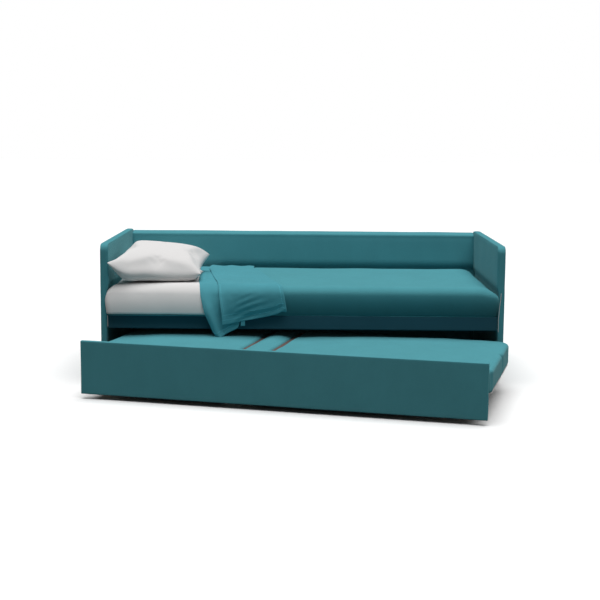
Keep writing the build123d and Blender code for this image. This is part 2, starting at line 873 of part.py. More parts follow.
def pull_out_parts():
    """Everything that stays with the pull-out bed, at its own place."""
    left_block, middle_block, right_block = low_blocks()
    base_length = base_end - base_left
    plates = [Pos(x, y, 0) * castor_plate_piece() for x, y in castor_places.values()]
    screws = [Pos(x, y, 0) * screw for x, y in castor_places.values() for screw in castor_screws()]
    return {
        "pull_out_panel_board": panel_board(),
        "pull_out_panel_cover": panel_cover(),
        "pull_out_front_rail": base_long_rail(base_front),
        "pull_out_rear_rail": base_long_rail(base_back - base_rail_width),
        "pull_out_left_rail": base_end_rail(base_left),
        "pull_out_right_rail": base_end_rail(base_end - base_rail_width),
        "pull_out_left_cross_bar": cross_bar(base_left + base_length / 3),
        "pull_out_right_cross_bar": cross_bar(base_left + base_length * 2 / 3),
        "pull_out_slats": slat_row(low_slat_places, low_slat_front, low_slat_back, base_top),
        "castor_boards": castor_boards(),
        "panel_brackets": panel_brackets(),
        "castor_plates": plates,
        "castor_plate_screws": screws,
        "left_mattress_block": left_block,
        "middle_mattress_block": middle_block,
        "right_mattress_block": right_block,
    }


def castor_parts():
    """The four castors below their plates, standing on the floor."""
    parts = {}
    for name, (x, y) in castor_places.items():
        stand = castor_stand(x, y)
        parts["castor_fork_" + name] = stand * castor_fork()
        parts["castor_axle_" + name] = stand * castor_axle()
        parts["castor_wheel_" + name] = stand * castor_wheel()
    return parts


def as_list(piece):
    return piece if isinstance(piece, list) else [piece]


def main():
    os.makedirs("parts", exist_ok=True)
    groups = {name: as_list(piece) for name, piece in sofa_parts().items()}
    for name, piece in pull_out_parts().items():
        groups[name] = [pulled_out(one) for one in as_list(piece)]
    for name, piece in castor_parts().items():
        groups[name] = as_list(piece)
    outermost = ("left_arm_cover", "right_arm_cover", "pull_out_panel_cover")
    rigid = [solid for name in outermost for solid in groups[name]]
    box = Compound(children=rigid).bounding_box()
    centre = Pos(-(box.min.X + box.max.X) / 2, -(box.min.Y + box.max.Y) / 2, 0)
    for name, pieces in groups.items():
        solids = [centre * solid for piece in pieces for solid in piece.solids()]
        body = solids[0] if len(solids) == 1 else Compound(children=solids)
        export_step(body, "parts/" + name + ".step")


main()
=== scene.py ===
"""Upholstered sofa bed, its second bed pulled out at an angle: finishes, padding, bedding and stage."""

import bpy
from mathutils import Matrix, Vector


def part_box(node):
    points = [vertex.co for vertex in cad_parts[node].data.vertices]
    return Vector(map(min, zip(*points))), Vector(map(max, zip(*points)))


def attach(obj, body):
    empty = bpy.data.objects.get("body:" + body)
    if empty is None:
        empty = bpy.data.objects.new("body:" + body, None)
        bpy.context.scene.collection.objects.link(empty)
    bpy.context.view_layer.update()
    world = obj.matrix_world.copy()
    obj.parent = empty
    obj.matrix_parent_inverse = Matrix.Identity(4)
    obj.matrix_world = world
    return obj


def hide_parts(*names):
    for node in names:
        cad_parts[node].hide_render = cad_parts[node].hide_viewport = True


bl_info = {
    "name": "Sofa bed",
    "version": (1, 0, 0),
    "blender": (4, 5, 0),
    "location": "View3D > Sidebar > Sofa bed",
    "description": "Upholsters a sofa bed and its pull-out bed, makes up the bedding and sets the stage",
    "category": "Object",
}

import math

import bpy
import numpy as np
from bpy.props import FloatProperty, FloatVectorProperty, PointerProperty
from mathutils import Matrix, Vector, noise

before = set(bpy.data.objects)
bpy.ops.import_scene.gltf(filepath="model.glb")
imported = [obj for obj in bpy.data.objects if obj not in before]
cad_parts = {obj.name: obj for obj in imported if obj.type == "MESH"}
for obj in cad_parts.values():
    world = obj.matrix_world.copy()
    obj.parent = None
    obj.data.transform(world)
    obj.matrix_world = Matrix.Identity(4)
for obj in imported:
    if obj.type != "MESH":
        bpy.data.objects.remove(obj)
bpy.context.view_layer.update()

# Places and sizes that everything else is measured from, in metres
left_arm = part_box("left_arm_cover")
right_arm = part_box("right_arm_cover")
SOFA_X = (left_arm[0].x + right_arm[1].x) / 2
SOFA_Y = right_arm[0].y
PANEL_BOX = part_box("pull_out_panel_cover")
BED_TURN = math.radians(14.8)
PANEL_THICKNESS = 0.022
PANEL_LENGTH = 1.985
PANEL_EDGE = 0.003


def bed_corner():
    """Front left corner of the pulled-out panel, before its edges were rounded."""
    turn_cos, turn_sin = math.cos(BED_TURN), math.sin(BED_TURN)
    x = PANEL_BOX[0].x - PANEL_EDGE * (turn_cos + turn_sin - 1)
    reach = (PANEL_THICKNESS - PANEL_EDGE) * turn_cos - PANEL_EDGE * turn_sin + PANEL_EDGE
    return Vector((x, PANEL_BOX[1].y - reach, 0))


SOFA = Matrix.Translation((SOFA_X, SOFA_Y, 0))
BED = Matrix.Translation(bed_corner()) @ Matrix.Rotation(-BED_TURN, 4, "Z")


def sofa_box(node):
    """A node's box measured from the middle of the sofa and the front of its arms."""
    low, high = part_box(node)
    shift = Vector((SOFA_X, SOFA_Y, 0))
    return np.array(low - shift), np.array(high - shift)


class UpholsterySizes(bpy.types.PropertyGroup):
    """Sizes of the padding and the bedding."""

    mesh_step: FloatProperty(name="Mesh step", description="Distance between mesh lines on large pads",
                             default=0.014, min=0.005, unit="LENGTH")
    arm_puff: FloatProperty(name="Arm puff", description="How far the arm pads swell between their seams",
                            default=0.0035, min=0, unit="LENGTH")
    back_puff: FloatProperty(name="Back puff", description="How far the back pad swells between its seams",
                             default=0.005, min=0, unit="LENGTH")
    welt: FloatProperty(name="Welt", description="Radius of the welt sewn into the seams",
                        default=0.0022, min=0.0005, unit="LENGTH")
    mattress_crown: FloatProperty(name="Mattress crown", default=0.012, min=0, unit="LENGTH",
                                  description="Rise of the upper mattress at its middle")
    block_crown: FloatProperty(name="Block crown", default=0.011, min=0, unit="LENGTH",
                               description="Rise of the lower mattress blocks at their middle")
    pillow_height: FloatProperty(name="Pillow height", description="Thickness of the pillow at its middle",
                                 default=0.175, min=0.05, unit="LENGTH")
    stitch_spacing: FloatProperty(name="Stitch spacing", description="Distance between stitches",
                                  default=0.008, min=0.002, unit="LENGTH")
    stitch_length: FloatProperty(name="Stitch length", description="Length of one stitch",
                                 default=0.0055, min=0.001, unit="LENGTH")


class FinishColours(bpy.types.PropertyGroup):
    """Colours of the cloth, timber and fittings."""

    teal: FloatVectorProperty(name="Upholstery", description="Woven teal upholstery", subtype="COLOR",
                              size=3, default=(0.083, 0.312, 0.358), min=0, max=1)
    # Painted shade: a darker copy of the teal, which paints the shade on the front rail under the mattress's
    # overhang
    painted_shade_teal: FloatVectorProperty(name="Upholstery in painted shade", subtype="COLOR",
                             description="The same cloth darkened, as painted shade for the front rail",
                             size=3, default=(0.026, 0.090, 0.122), min=0, max=1)
    hinge: FloatVectorProperty(name="Hinge cloth", subtype="COLOR",
                               description="Brown cloth that joins the lower mattress blocks",
                               size=3, default=(0.105, 0.075, 0.068), min=0, max=1)
    throw: FloatVectorProperty(name="Throw", description="Soft teal throw", subtype="COLOR",
                               size=3, default=(0.080, 0.316, 0.374), min=0, max=1)
    linen: FloatVectorProperty(name="Linen", description="White sheet and pillow", subtype="COLOR",
                               size=3, default=(0.715, 0.705, 0.700), min=0, max=1)
    timber: FloatVectorProperty(name="Frame timber", subtype="COLOR",
                                description="Plain softwood of the frames",
                                size=3, default=(0.42, 0.28, 0.16), min=0, max=1)
    slats: FloatVectorProperty(name="Slats", description="Dark bent slats", subtype="COLOR",
                               size=3, default=(0.115, 0.062, 0.040), min=0, max=1)
    plastic: FloatVectorProperty(name="Plastic", subtype="COLOR",
                                 description="Black plastic of caps and glides",
                                 size=3, default=(0.018, 0.018, 0.019), min=0, max=1)
    bracket: FloatVectorProperty(name="Brackets", description="Dark steel of the corner brackets",
                                 subtype="COLOR", size=3, default=(0.05, 0.05, 0.052), min=0, max=1)
    steel: FloatVectorProperty(name="Steel", description="Zinc-plated fittings", subtype="COLOR",
                               size=3, default=(0.34, 0.35, 0.36), min=0, max=1)
    tread: FloatVectorProperty(name="Tread", description="Grey castor wheels", subtype="COLOR",
                               size=3, default=(0.16, 0.16, 0.165), min=0, max=1)


# Settings and node trees

# What a noise texture gives on average
NOISE_MIDDLE = 0.5


def adjust(target, **settings):
    """Sets several values of one thing."""
    for name, value in settings.items():
        setattr(target, name, value)
    return target


def fill(sockets, values):
    """Sets sockets to plain values, by their labels."""
    for label, value in values.items():
        sockets[label].default_value = value


class Wiring:
    """Lays out nodes in a tree."""

    def __init__(self, tree):
        self.tree = tree

    def node(self, kind, **settings):
        return adjust(self.tree.nodes.new(kind), **settings)

    def link(self, source, target):
        self.tree.links.new(source, target)

    def math(self, operation, first, second=None):
        """A math node on sockets or plain numbers."""
        made = self.node("ShaderNodeMath", operation=operation)
        for socket, value in zip(made.inputs, (first, second)):
            if isinstance(value, bpy.types.NodeSocket):
                self.link(value, socket)
            elif value is not None:
                socket.default_value = value
        return made.outputs[0]

    def total(self, first, *others):
        """The sum of sockets or plain numbers."""
        for other in others:
            first = self.math("ADD", first, other)
        return first

    def blend(self, *parts):
        """The sum of sockets, each times its share."""
        return self.total(*(self.math("MULTIPLY", value, share) for value, share in parts))

    def swing(self, value, strength, middle=NOISE_MIDDLE):
        """How far a value stands off its middle, times a strength."""
        return self.math("MULTIPLY", self.math("SUBTRACT", value, middle), strength)

    def noise(self, vector, scale, detail=3.0, rough=0.55):
        made = self.node("ShaderNodeTexNoise")
        fill(made.inputs, {"Scale": scale, "Detail": detail, "Roughness": rough})
        self.link(vector, made.inputs["Vector"])
        return made.outputs["Fac"]

    def stretched(self, vector, scale):
        """Coordinates scaled by three numbers."""
        made = self.node("ShaderNodeVectorMath", operation="MULTIPLY")
        self.link(vector, made.inputs[0])
        made.inputs[1].default_value = scale
        return made.outputs[0]

    def split(self, vector):
        """The three coordinates of a vector."""
        made = self.node("ShaderNodeSeparateXYZ")
        self.link(vector, made.inputs[0])
        return made.outputs

    def toned(self, tint, level):
        """A colour made lighter or darker by a level about one."""
        made = self.node("ShaderNodeHueSaturation")
        self.link(tint, made.inputs["Color"])
        self.link(level, made.inputs["Value"])
        return made.outputs[0]

    def seen_directly(self):
        """One for rays from the camera, off gloss or through glass, and nought for bounced light."""
        path = self.node("ShaderNodeLightPath")
        camera, glossy = path.outputs["Is Camera Ray"], path.outputs["Is Glossy Ray"]
        return self.math("MAXIMUM", self.math("MAXIMUM", camera, glossy), path.outputs["Is Transmission Ray"])


def shader_group(name, **numbers):
    """A new shader group that takes a place, a colour and numbers, and its inner input and output nodes."""
    tree = bpy.data.node_groups.new(name, "ShaderNodeTree")
    tree.interface.new_socket("Vector", in_out="INPUT", socket_type="NodeSocketVector")
    tree.interface.new_socket("Colour", in_out="INPUT", socket_type="NodeSocketColor")
    for label, value in numbers.items():
        tree.interface.new_socket(label, in_out="INPUT", socket_type="NodeSocketFloat").default_value = value
    tree.interface.new_socket("Colour", in_out="OUTPUT", socket_type="NodeSocketColor")
    for label in ("Height", "Roughness"):
        tree.interface.new_socket(label, in_out="OUTPUT", socket_type="NodeSocketFloat")
    wires = Wiring(tree)
    return wires, wires.node("NodeGroupInput").outputs, wires.node("NodeGroupOutput").inputs


def weave_group():
    """Crossing threads, a soft pile and clouded colour, for any cloth."""
    wires, given, out = shader_group("woven_cloth", Pitch=0.0015, Cloud=0.2, Pile=0.3, Thread=0.3)
    crest_middle = 0.6
    roughness, roughness_swing = 0.76, 0.16
    turns = wires.math("DIVIDE", math.pi, given["Pitch"])
    facing = wires.split(wires.node("ShaderNodeTexCoord").outputs["Normal"])
    crests = []
    # Crests lie evenly along each axis, and fade where the cloth faces that way
    for axis, normal in zip(wires.split(given["Vector"]), facing):
        crest = wires.math("ABSOLUTE", wires.math("SINE", wires.math("MULTIPLY", axis, turns)))
        in_cloth = wires.math("SUBTRACT", 1.0, wires.math("MULTIPLY", normal, normal))
        crests.append(wires.math("MULTIPLY", crest, in_cloth))
    threads = wires.math("MULTIPLY", wires.total(*crests), 0.5)
    pile = wires.noise(given["Vector"], 420.0, 2.0)
    cloud = wires.noise(given["Vector"], 6.5, 4.0, 0.6)
    streak = wires.noise(wires.stretched(given["Vector"], (16.0, 16.0, 3.5)), 1.0)
    cloudy = wires.swing(wires.blend((cloud, 0.6), (streak, 0.4)), given["Cloud"])
    fuzzy = wires.swing(pile, given["Pile"])
    threaded = wires.swing(threads, given["Thread"], crest_middle)
    level = wires.total(cloudy, fuzzy, threaded, 1.0)
    wires.link(wires.toned(given["Colour"], level), out["Colour"])
    wires.link(wires.blend((threads, 0.5), (pile, 0.5)), out["Height"])
    wires.link(wires.total(wires.math("MULTIPLY", pile, roughness_swing), roughness), out["Roughness"])
    return wires.tree


def grain_group():
    """Long wood grain with darker pores; the first coordinate runs along the grain."""
    wires, given, out = shader_group("timber_grain", Contrast=0.5)
    roughness, roughness_swing = 0.42, 0.2
    bent = wires.noise(wires.stretched(given["Vector"], (1.6, 7.0, 7.0)), 1.0, 2.0)
    rings = wires.noise(wires.stretched(given["Vector"], (2.2, 60.0, 60.0)), 1.0, 4.0, 0.65)
    pores = wires.noise(wires.stretched(given["Vector"], (22.0, 700.0, 700.0)), 1.0, 2.0)
    mixed = wires.blend((rings, 0.55), (pores, 0.25), (bent, 0.2))
    level = wires.total(wires.swing(mixed, given["Contrast"]), 1.0)
    wires.link(wires.toned(given["Colour"], level), out["Colour"])
    wires.link(mixed, out["Height"])
    wires.link(wires.total(wires.math("MULTIPLY", pores, roughness_swing), roughness), out["Roughness"])
    return wires.tree


def scuff_group():
    """Fine scuffs and uneven gloss, for plastic and metal."""
    wires, given, out = shader_group("scuffed_surface", Roughness=0.4, Scuff=0.3)
    wear = wires.noise(given["Vector"], 60.0, 5.0, 0.7)
    level = wires.total(wires.swing(wear, given["Scuff"]), 1.0)
    wires.link(wires.toned(given["Colour"], level), out["Colour"])
    wires.link(wires.noise(given["Vector"], 900.0, 2.0), out["Height"])
    uneven = wires.swing(wear, wires.math("MULTIPLY", given["Scuff"], 0.8))
    wires.link(wires.total(uneven, given["Roughness"]), out["Roughness"])
    return wires.tree


def finish(name, group, values, strength, depth, settings, turn=0.0):
    """A material whose colour, roughness and relief of a given depth come from one shared group."""
    made = bpy.data.materials.new(name)
    made.use_nodes = True
    wires = Wiring(made.node_tree)
    shader = made.node_tree.nodes["Principled BSDF"]
    fill(shader.inputs, settings)
    vector = wires.node("ShaderNodeTexCoord").outputs["Object"]
    if turn:
        mapping = wires.node("ShaderNodeMapping")
        mapping.inputs["Rotation"].default_value = (0, 0, turn)
        wires.link(vector, mapping.inputs["Vector"])
        vector = mapping.outputs[0]
    effect = wires.node("ShaderNodeGroup", node_tree=group)
    wires.link(vector, effect.inputs["Vector"])
    fill(effect.inputs, values)
    relief = wires.node("ShaderNodeBump")
    fill(relief.inputs, {"Strength": strength, "Distance": depth})
    wires.link(effect.outputs["Colour"], shader.inputs["Base Color"])
    wires.link(effect.outputs["Roughness"], shader.inputs["Roughness"])
    wires.link(effect.outputs["Height"], relief.inputs["Height"])
    wires.link(relief.outputs[0], shader.inputs["Normal"])
    return made


def colour(name):
    """A user colour as four numbers."""
    return (*getattr(bpy.context.scene.sofa_bed_colours, name), 1.0)


def size(name):
    """A user size in metres."""
    return getattr(bpy.context.scene.sofa_bed_sizes, name)


# Meshes

# Which coordinates the two sides and the length of a pad take, for each axis it may run along
ORDER = {"X": (1, 2, 0), "Y": (2, 0, 1), "Z": (0, 1, 2)}
# Cuts round each rounded edge
TURNS = 6
# The sides of an upright pad that a seam follows when it leaves out the foot
ALL_BUT_FOOT = (1, 2, 3)


def grid_lines(low, high, rim, corner, step):
    """Cuts along one side of a pad, close together where its edges turn."""
    edge = []
    if rim:
        edge = [rim * (1 - math.tan(math.pi / 4 * (1 - n / TURNS))) for n in range(TURNS)]
    extra = max(1, round((corner - rim) / step * 2)) if corner > rim else 0
    edge += [rim + (corner - rim) * n / extra for n in range(extra)]
    start, end = low + corner, high - corner
    count = max(1, math.ceil((end - start) / step))
    middle = [start + (end - start) * n / count for n in range(count + 1)]
    return [low + e for e in edge] + middle + [high - e for e in reversed(edge)]


def box_shell(us, vs, ws):
    """Points and outward four-sided faces over a box that is cut at these places."""
    index, points, faces = {}, [], []

    def at(i, j, k):
        if (i, j, k) not in index:
            index[i, j, k] = len(points)
            points.append((us[i], vs[j], ws[k]))
        return index[i, j, k]

    nu, nv, nw = len(us) - 1, len(vs) - 1, len(ws) - 1
    for i in range(nu):
        for j in range(nv):
            faces.append((at(i, j, 0), at(i, j + 1, 0), at(i + 1, j + 1, 0), at(i + 1, j, 0)))
            faces.append((at(i, j, nw), at(i + 1, j, nw), at(i + 1, j + 1, nw), at(i, j + 1, nw)))
    for i in range(nu):
        for k in range(nw):
            faces.append((at(i, 0, k), at(i + 1, 0, k), at(i + 1, 0, k + 1), at(i, 0, k + 1)))
            faces.append((at(i, nv, k), at(i, nv, k + 1), at(i + 1, nv, k + 1), at(i + 1, nv, k)))
    for j in range(nv):
        for k in range(nw):
            faces.append((at(0, j, k), at(0, j, k + 1), at(0, j + 1, k + 1), at(0, j + 1, k)))
            faces.append((at(nu, j, k), at(nu, j + 1, k), at(nu, j + 1, k + 1), at(nu, j, k + 1)))
    return np.array(points), faces


class Pad:
    """A box with rounded corners about one axis and a rounded rim at each of its two ends."""

    def __init__(self, axis, low, high, corners, low_rim, high_rim=None):
        self.order = ORDER[axis]
        self.low = np.array([low[n] for n in self.order])
        self.high = np.array([high[n] for n in self.order])
        self.corners = corners
        self.rims = (low_rim, high_rim or low_rim)

    def rounded(self, points):
        """Carries points on the sharp box onto the rounded pad."""
        p = points.copy()
        below, above = p - self.low, self.high - p
        gaps = ((below[:, 0], 0, 1), (above[:, 0], 0, -1), (below[:, 1], 1, 1), (above[:, 1], 1, -1))
        depth = np.minimum.reduce([gap for gap, _, _ in gaps])
        inward = np.zeros((len(p), 2))
        for gap, axis, sign in gaps:
            nearest = gap <= depth + 1e-9
            inward[nearest] = 0
            inward[nearest, axis] = sign
        for (su, sv), radius in zip(((1, 1), (-1, 1), (-1, -1), (1, -1)), self.corners):
            du = below[:, 0] if su > 0 else above[:, 0]
            dv = below[:, 1] if sv > 0 else above[:, 1]
            here = (du < radius) & (dv < radius)
            a, b = 1 - du[here] / radius, 1 - dv[here] / radius
            most = np.maximum(a, b)
            away = np.maximum(np.hypot(a, b), 1e-9)
            a, b = a / away, b / away
            depth[here] = radius * (1 - most)
            inward[here, 0], inward[here, 1] = su * a, sv * b
            p[here, 0] = (self.low[0] if su > 0 else self.high[0]) + su * radius * (1 - most * a)
            p[here, 1] = (self.low[1] if sv > 0 else self.high[1]) + sv * radius * (1 - most * b)
        end = np.minimum(below[:, 2], above[:, 2])
        sign = np.where(below[:, 2] <= above[:, 2], 1.0, -1.0)
        rim = np.where(sign > 0, *self.rims)
        near = (depth < rim) & (end < rim)
        depth, end, rim = depth[near], end[near], rim[near]
        a, b = 1 - depth / rim, 1 - end / rim
        away = np.maximum(np.hypot(a, b), 1e-9)
        p[near, :2] += inward[near] * (rim * (1 - a / away) - depth)[:, None]
        p[near, 2] += sign[near] * (rim * (1 - b / away) - end)
        return p[:, np.argsort(self.order)]

    def surface(self, step, end_step=None):
        """Points and faces of the whole pad."""
        rim = max(self.rims)
        widest = max(rim, *self.corners)
        us, vs = (grid_lines(self.low[n], self.high[n], rim, widest, step) for n in (0, 1))
        ws = grid_lines(self.low[2], self.high[2], rim, rim, end_step or step)
        points, faces = box_shell(us, vs, ws)
        return self.rounded(points), faces

    def seam(self, end, inset=0.0, sides=(0, 1, 2, 3), step=0.012):
        """Points along the rim at one end, or on the end's face at this inset from its outline."""
        (u0, v0), (u1, v1) = self.low[:2] + inset, self.high[:2] - inset
        turns = ((u0, v0), (u1, v0), (u1, v1), (u0, v1), (u0, v0))
        w = self.low[2] if end < 0 else self.high[2]
        path = []
        for side in sides:
            start, stop = np.array(turns[side]), np.array(turns[side + 1])
            count = max(2, round(np.linalg.norm(stop - start) / step))
            path += [(*(start + (stop - start) * n / count), w) for n in range(count)]
        path.append((*turns[sides[-1] + 1], w))
        return self.rounded(np.array(path))


def smooth(share):
    """Eases from nought to one."""
    share = np.clip(share, 0, 1)
    return share * share * (3 - 2 * share)


def hump(value, place, width):
    """One at a place, and falling away to nought on both sides of it."""
    return np.exp(-((value - place) / width) ** 2)


def puffed(most, depth, run):
    """How far a pad swells at this depth behind its seams."""
    return most * (1 - np.exp(-np.clip(depth, 0, None) / run))


def smooth_shaded(mesh):
    """Shades a mesh smoothly."""
    mesh.polygons.foreach_set("use_smooth", [True] * len(mesh.polygons))
    return mesh


def linked(name, data):
    """A new object in the scene."""
    made = bpy.data.objects.new(name, data)
    bpy.context.scene.collection.objects.link(made)
    return made


def mesh_object(name, points, faces, place=Matrix.Identity(4)):
    """A smooth mesh object at the origin, with its place in its points."""
    mesh = bpy.data.meshes.new(name)
    mesh.from_pydata([tuple(p) for p in points], [], faces)
    mesh.transform(place)
    smooth_shaded(mesh).update()
    return linked(name, mesh)


def places(mesh):
    """A mesh's points as rows of three numbers."""
    found = np.zeros(len(mesh.vertices) * 3)
    mesh.vertices.foreach_get("co", found)
    return found.reshape(-1, 3)


def mirrored(points, faces):
    """The same form on the other side of the middle."""
    return points * np.array((-1, 1, 1)), [tuple(reversed(face)) for face in faces]


def ripple(points, normals, depth, scale, seed, stretch=(1, 1, 1)):
    """Uneven stuffing: moves points along their normals by a smooth noise."""
    shift = Vector((seed * 7.3, seed * 3.1, seed * 1.7))
    moves = [noise.noise(Vector((p[0] * stretch[0], p[1] * stretch[1], p[2] * stretch[2])) * scale + shift)
             for p in points]
    return points + normals * (np.array(moves) * depth)[:, None]


def normals_of(points, faces):
    """Point normals of a closed form."""
    mesh = bpy.data.meshes.new("measure")
    mesh.from_pydata([tuple(p) for p in points], [], faces)
    mesh.update()
    found = np.zeros(len(points) * 3)
    mesh.vertex_normals.foreach_get("vector", found)
    bpy.data.meshes.remove(mesh)
    return found.reshape(-1, 3)


def stuffed(points, faces, depth, scale, seed, stretch=(1, 1, 1)):
    """The points of a closed form, rippled along its own normals."""
    return ripple(points, normals_of(points, faces), depth, scale, seed, stretch)


def evaluated(obj):
    """A plain mesh of what the object's modifiers make."""
    graph = bpy.context.evaluated_depsgraph_get()
    return bpy.data.meshes.new_from_object(obj.evaluated_get(graph), depsgraph=graph)


def settled(obj):
    """Bakes an object's modifiers into its mesh."""
    mesh = evaluated(obj)
    obj.modifiers.clear()
    obj.data = smooth_shaded(mesh)
    return obj


def curve_object(name, paths, closed=False, place=Matrix.Identity(4)):
    """A curve with one straight-run spline for each path."""
    curve = bpy.data.curves.new(name, "CURVE")
    curve.dimensions = "3D"
    for path in paths:
        spline = curve.splines.new("POLY")
        spline.points.add(len(path) - 1)
        for point, spot in zip(spline.points, path):
            point.co = (*(place @ Vector(spot)), 1)
        spline.use_cyclic_u = closed
    return linked(name, curve)


def mesh_from(guide, name):
    """A mesh object of what a guide curve makes, which takes the curve's place."""
    mesh = evaluated(guide)
    bpy.data.objects.remove(guide)
    return linked(name, mesh)


def welt(name, paths, radius, closed=False, place=Matrix.Identity(4)):
    """A thin sewn-in cord along each path, as one mesh."""
    guide = curve_object(name + "_guide", paths, closed, place)
    adjust(guide.data, bevel_depth=radius, bevel_resolution=2, use_fill_caps=not closed)
    made = mesh_from(guide, name)
    smooth_shaded(made.data)
    return made


def dress(obj, body, material, slot, *nodes):
    """Gives a piece its material and the body it rides on, and hides the nodes it stands for; the finish slot
    is not used.
    """
    obj.data.materials.clear()
    obj.data.materials.append(bpy.data.materials[material])
    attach(obj, body)
    if nodes:
        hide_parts(*nodes)
    return obj


# Rows of stitches, made by geometry nodes

def stitch_tree():
    """Small rounded stitches set evenly along a curve."""
    tree = bpy.data.node_groups.new("row_of_stitches", "GeometryNodeTree")
    tree.interface.new_socket("Geometry", in_out="INPUT", socket_type="NodeSocketGeometry")
    for label, value in (("Spacing", 0.008), ("Length", 0.0055), ("Radius", 0.0006)):
        tree.interface.new_socket(label, in_out="INPUT", socket_type="NodeSocketFloat").default_value = value
    tree.interface.new_socket("Thread", in_out="INPUT", socket_type="NodeSocketMaterial")
    tree.interface.new_socket("Geometry", in_out="OUTPUT", socket_type="NodeSocketGeometry")
    wires = Wiring(tree)
    given = wires.node("NodeGroupInput").outputs
    out = wires.node("NodeGroupOutput").inputs
    points = wires.node("GeometryNodeCurveToPoints", mode="LENGTH")
    wires.link(given["Geometry"], points.inputs["Curve"])
    wires.link(given["Spacing"], points.inputs["Length"])
    turn = wires.node("FunctionNodeAlignRotationToVector", axis="Z")
    wires.link(points.outputs["Tangent"], turn.inputs["Vector"])
    ball = wires.node("GeometryNodeMeshIcoSphere")
    fill(ball.inputs, {"Radius": 1.0, "Subdivisions": 1})
    shape = wires.node("ShaderNodeCombineXYZ")
    wires.link(given["Radius"], shape.inputs[0])
    wires.link(given["Radius"], shape.inputs[1])
    wires.link(wires.math("MULTIPLY", given["Length"], 0.5), shape.inputs[2])
    place = wires.node("GeometryNodeInstanceOnPoints")
    wires.link(points.outputs["Points"], place.inputs["Points"])
    wires.link(ball.outputs["Mesh"], place.inputs["Instance"])
    wires.link(turn.outputs["Rotation"], place.inputs["Rotation"])
    wires.link(shape.outputs[0], place.inputs["Scale"])
    real = wires.node("GeometryNodeRealizeInstances")
    wires.link(place.outputs[0], real.inputs[0])
    paint = wires.node("GeometryNodeSetMaterial")
    wires.link(real.outputs[0], paint.inputs["Geometry"])
    wires.link(given["Thread"], paint.inputs["Material"])
    wires.link(paint.outputs[0], out["Geometry"])
    return tree


def stitches(name, paths, material, place=Matrix.Identity(4), radius=0.0006):
    """A mesh of stitches along each path."""
    tree = bpy.data.node_groups.get("row_of_stitches") or stitch_tree()
    guide = curve_object(name + "_guide", paths, place=place)
    modifier = guide.modifiers.new("stitches", "NODES")
    modifier.node_group = tree
    values = {"Spacing": size("stitch_spacing"), "Length": size("stitch_length"), "Radius": radius,
              "Thread": bpy.data.materials[material]}
    for item in tree.interface.items_tree:
        if item.in_out == "INPUT" and item.name in values:
            modifier[item.identifier] = values[item.name]
    return mesh_from(guide, name)


# The mattress top, which the sheet, the pillow and the throw all lie on

MATTRESS_LOW, MATTRESS_HIGH = sofa_box("upper_mattress")
# Its solid is set in under the sheet at the left, so that end is taken from the right one
MATTRESS_LOW[0] = -MATTRESS_HIGH[0]
MATTRESS_HEIGHT = 0.150
MATTRESS_EDGE_TOP = MATTRESS_LOW[2] + MATTRESS_HEIGHT
MATTRESS_FRONT, MATTRESS_BACK = -0.025, 0.875
MATTRESS_MIDDLE = (MATTRESS_FRONT + MATTRESS_BACK) / 2
MATTRESS_CORNERS = (0.024, 0.024, 0.042, 0.042)
MATTRESS_RIM, MATTRESS_LOW_RIM = 0.044, 0.009
# How far the top leans inwards: at the front under the sheet, at the bare front, and at the ends
SHEET_LEAN, BARE_LEAN, END_LEAN = 0.045, 0.010, 0.016
# How far the bare front's foot is tucked under, and how far the left and the right end sink
BARE_TUCK, END_DROPS = 0.030, (0.003, 0.012)


def mattress_rise(x, y):
    """How far the mattress top stands above its edge."""
    along = np.clip(x / MATTRESS_HIGH[0], -1, 1)
    over = np.clip((y - MATTRESS_MIDDLE) / (MATTRESS_BACK - MATTRESS_MIDDLE - MATTRESS_RIM), -1, 1)
    return size("mattress_crown") * (1 - along ** 2) * (1 - over ** 2)


def mattress_level(height):
    """A height as a share of the mattress's own height."""
    return (height - MATTRESS_LOW[2]) / (MATTRESS_EDGE_TOP - MATTRESS_LOW[2])


def mattress_form(grow):
    """Points and faces of the upper mattress swollen evenly by a distance, and the plain pad behind them."""
    low = np.array((MATTRESS_LOW[0] - grow, MATTRESS_FRONT - grow, MATTRESS_LOW[2] - grow))
    high = np.array((MATTRESS_HIGH[0] + grow, MATTRESS_BACK + grow, MATTRESS_EDGE_TOP + grow))
    corners = [corner + grow for corner in MATTRESS_CORNERS]
    pad = Pad("Z", low, high, corners, MATTRESS_LOW_RIM + grow, MATTRESS_RIM + grow)
    points, faces = pad.surface(size("mesh_step"))
    return stuffed(mattress_shape(points), faces, depth=0.0028, scale=5.0, seed=3), faces, pad


def mattress_shape(points):
    """Crowns the top, bellies the sides, and lets the front swell past the arms and sag over the rail."""
    belly, swell, sag, sag_level = 0.003, 0.019, 0.0055, 0.4
    arm_front, clear_of_arm = 0.004, 0.012
    swell_from, swell_run = 0.06, 0.05
    foot_swell, full_level, end_level, end_run = 0.35, 0.6, 1.15, 0.5
    p = points.copy()
    level = mattress_level(p[:, 2])
    p[:, 2] += mattress_rise(p[:, 0], p[:, 1]) * smooth(level)
    round_belly = np.sin(np.clip(level, 0, 1) * math.pi)
    outward = smooth(np.abs(p[:, 1] - MATTRESS_MIDDLE) / (MATTRESS_BACK - MATTRESS_MIDDLE))
    p[:, 1] += np.sign(p[:, 1] - MATTRESS_MIDDLE) * belly * round_belly * outward
    ahead = smooth((arm_front - p[:, 1]) / clear_of_arm)
    at_end = smooth((np.abs(p[:, 0]) - (MATTRESS_HIGH[0] - swell_from)) / swell_run)
    rounding = foot_swell + (1 - foot_swell) * smooth(level / full_level)
    rounding = rounding * smooth((end_level - level) / end_run)
    p[:, 0] += np.sign(p[:, 0]) * swell * ahead * at_end * rounding
    p[:, 2] -= sag * smooth(-p[:, 1] / clear_of_arm) * (1 - smooth(level / sag_level))
    return lean_in(p, level)


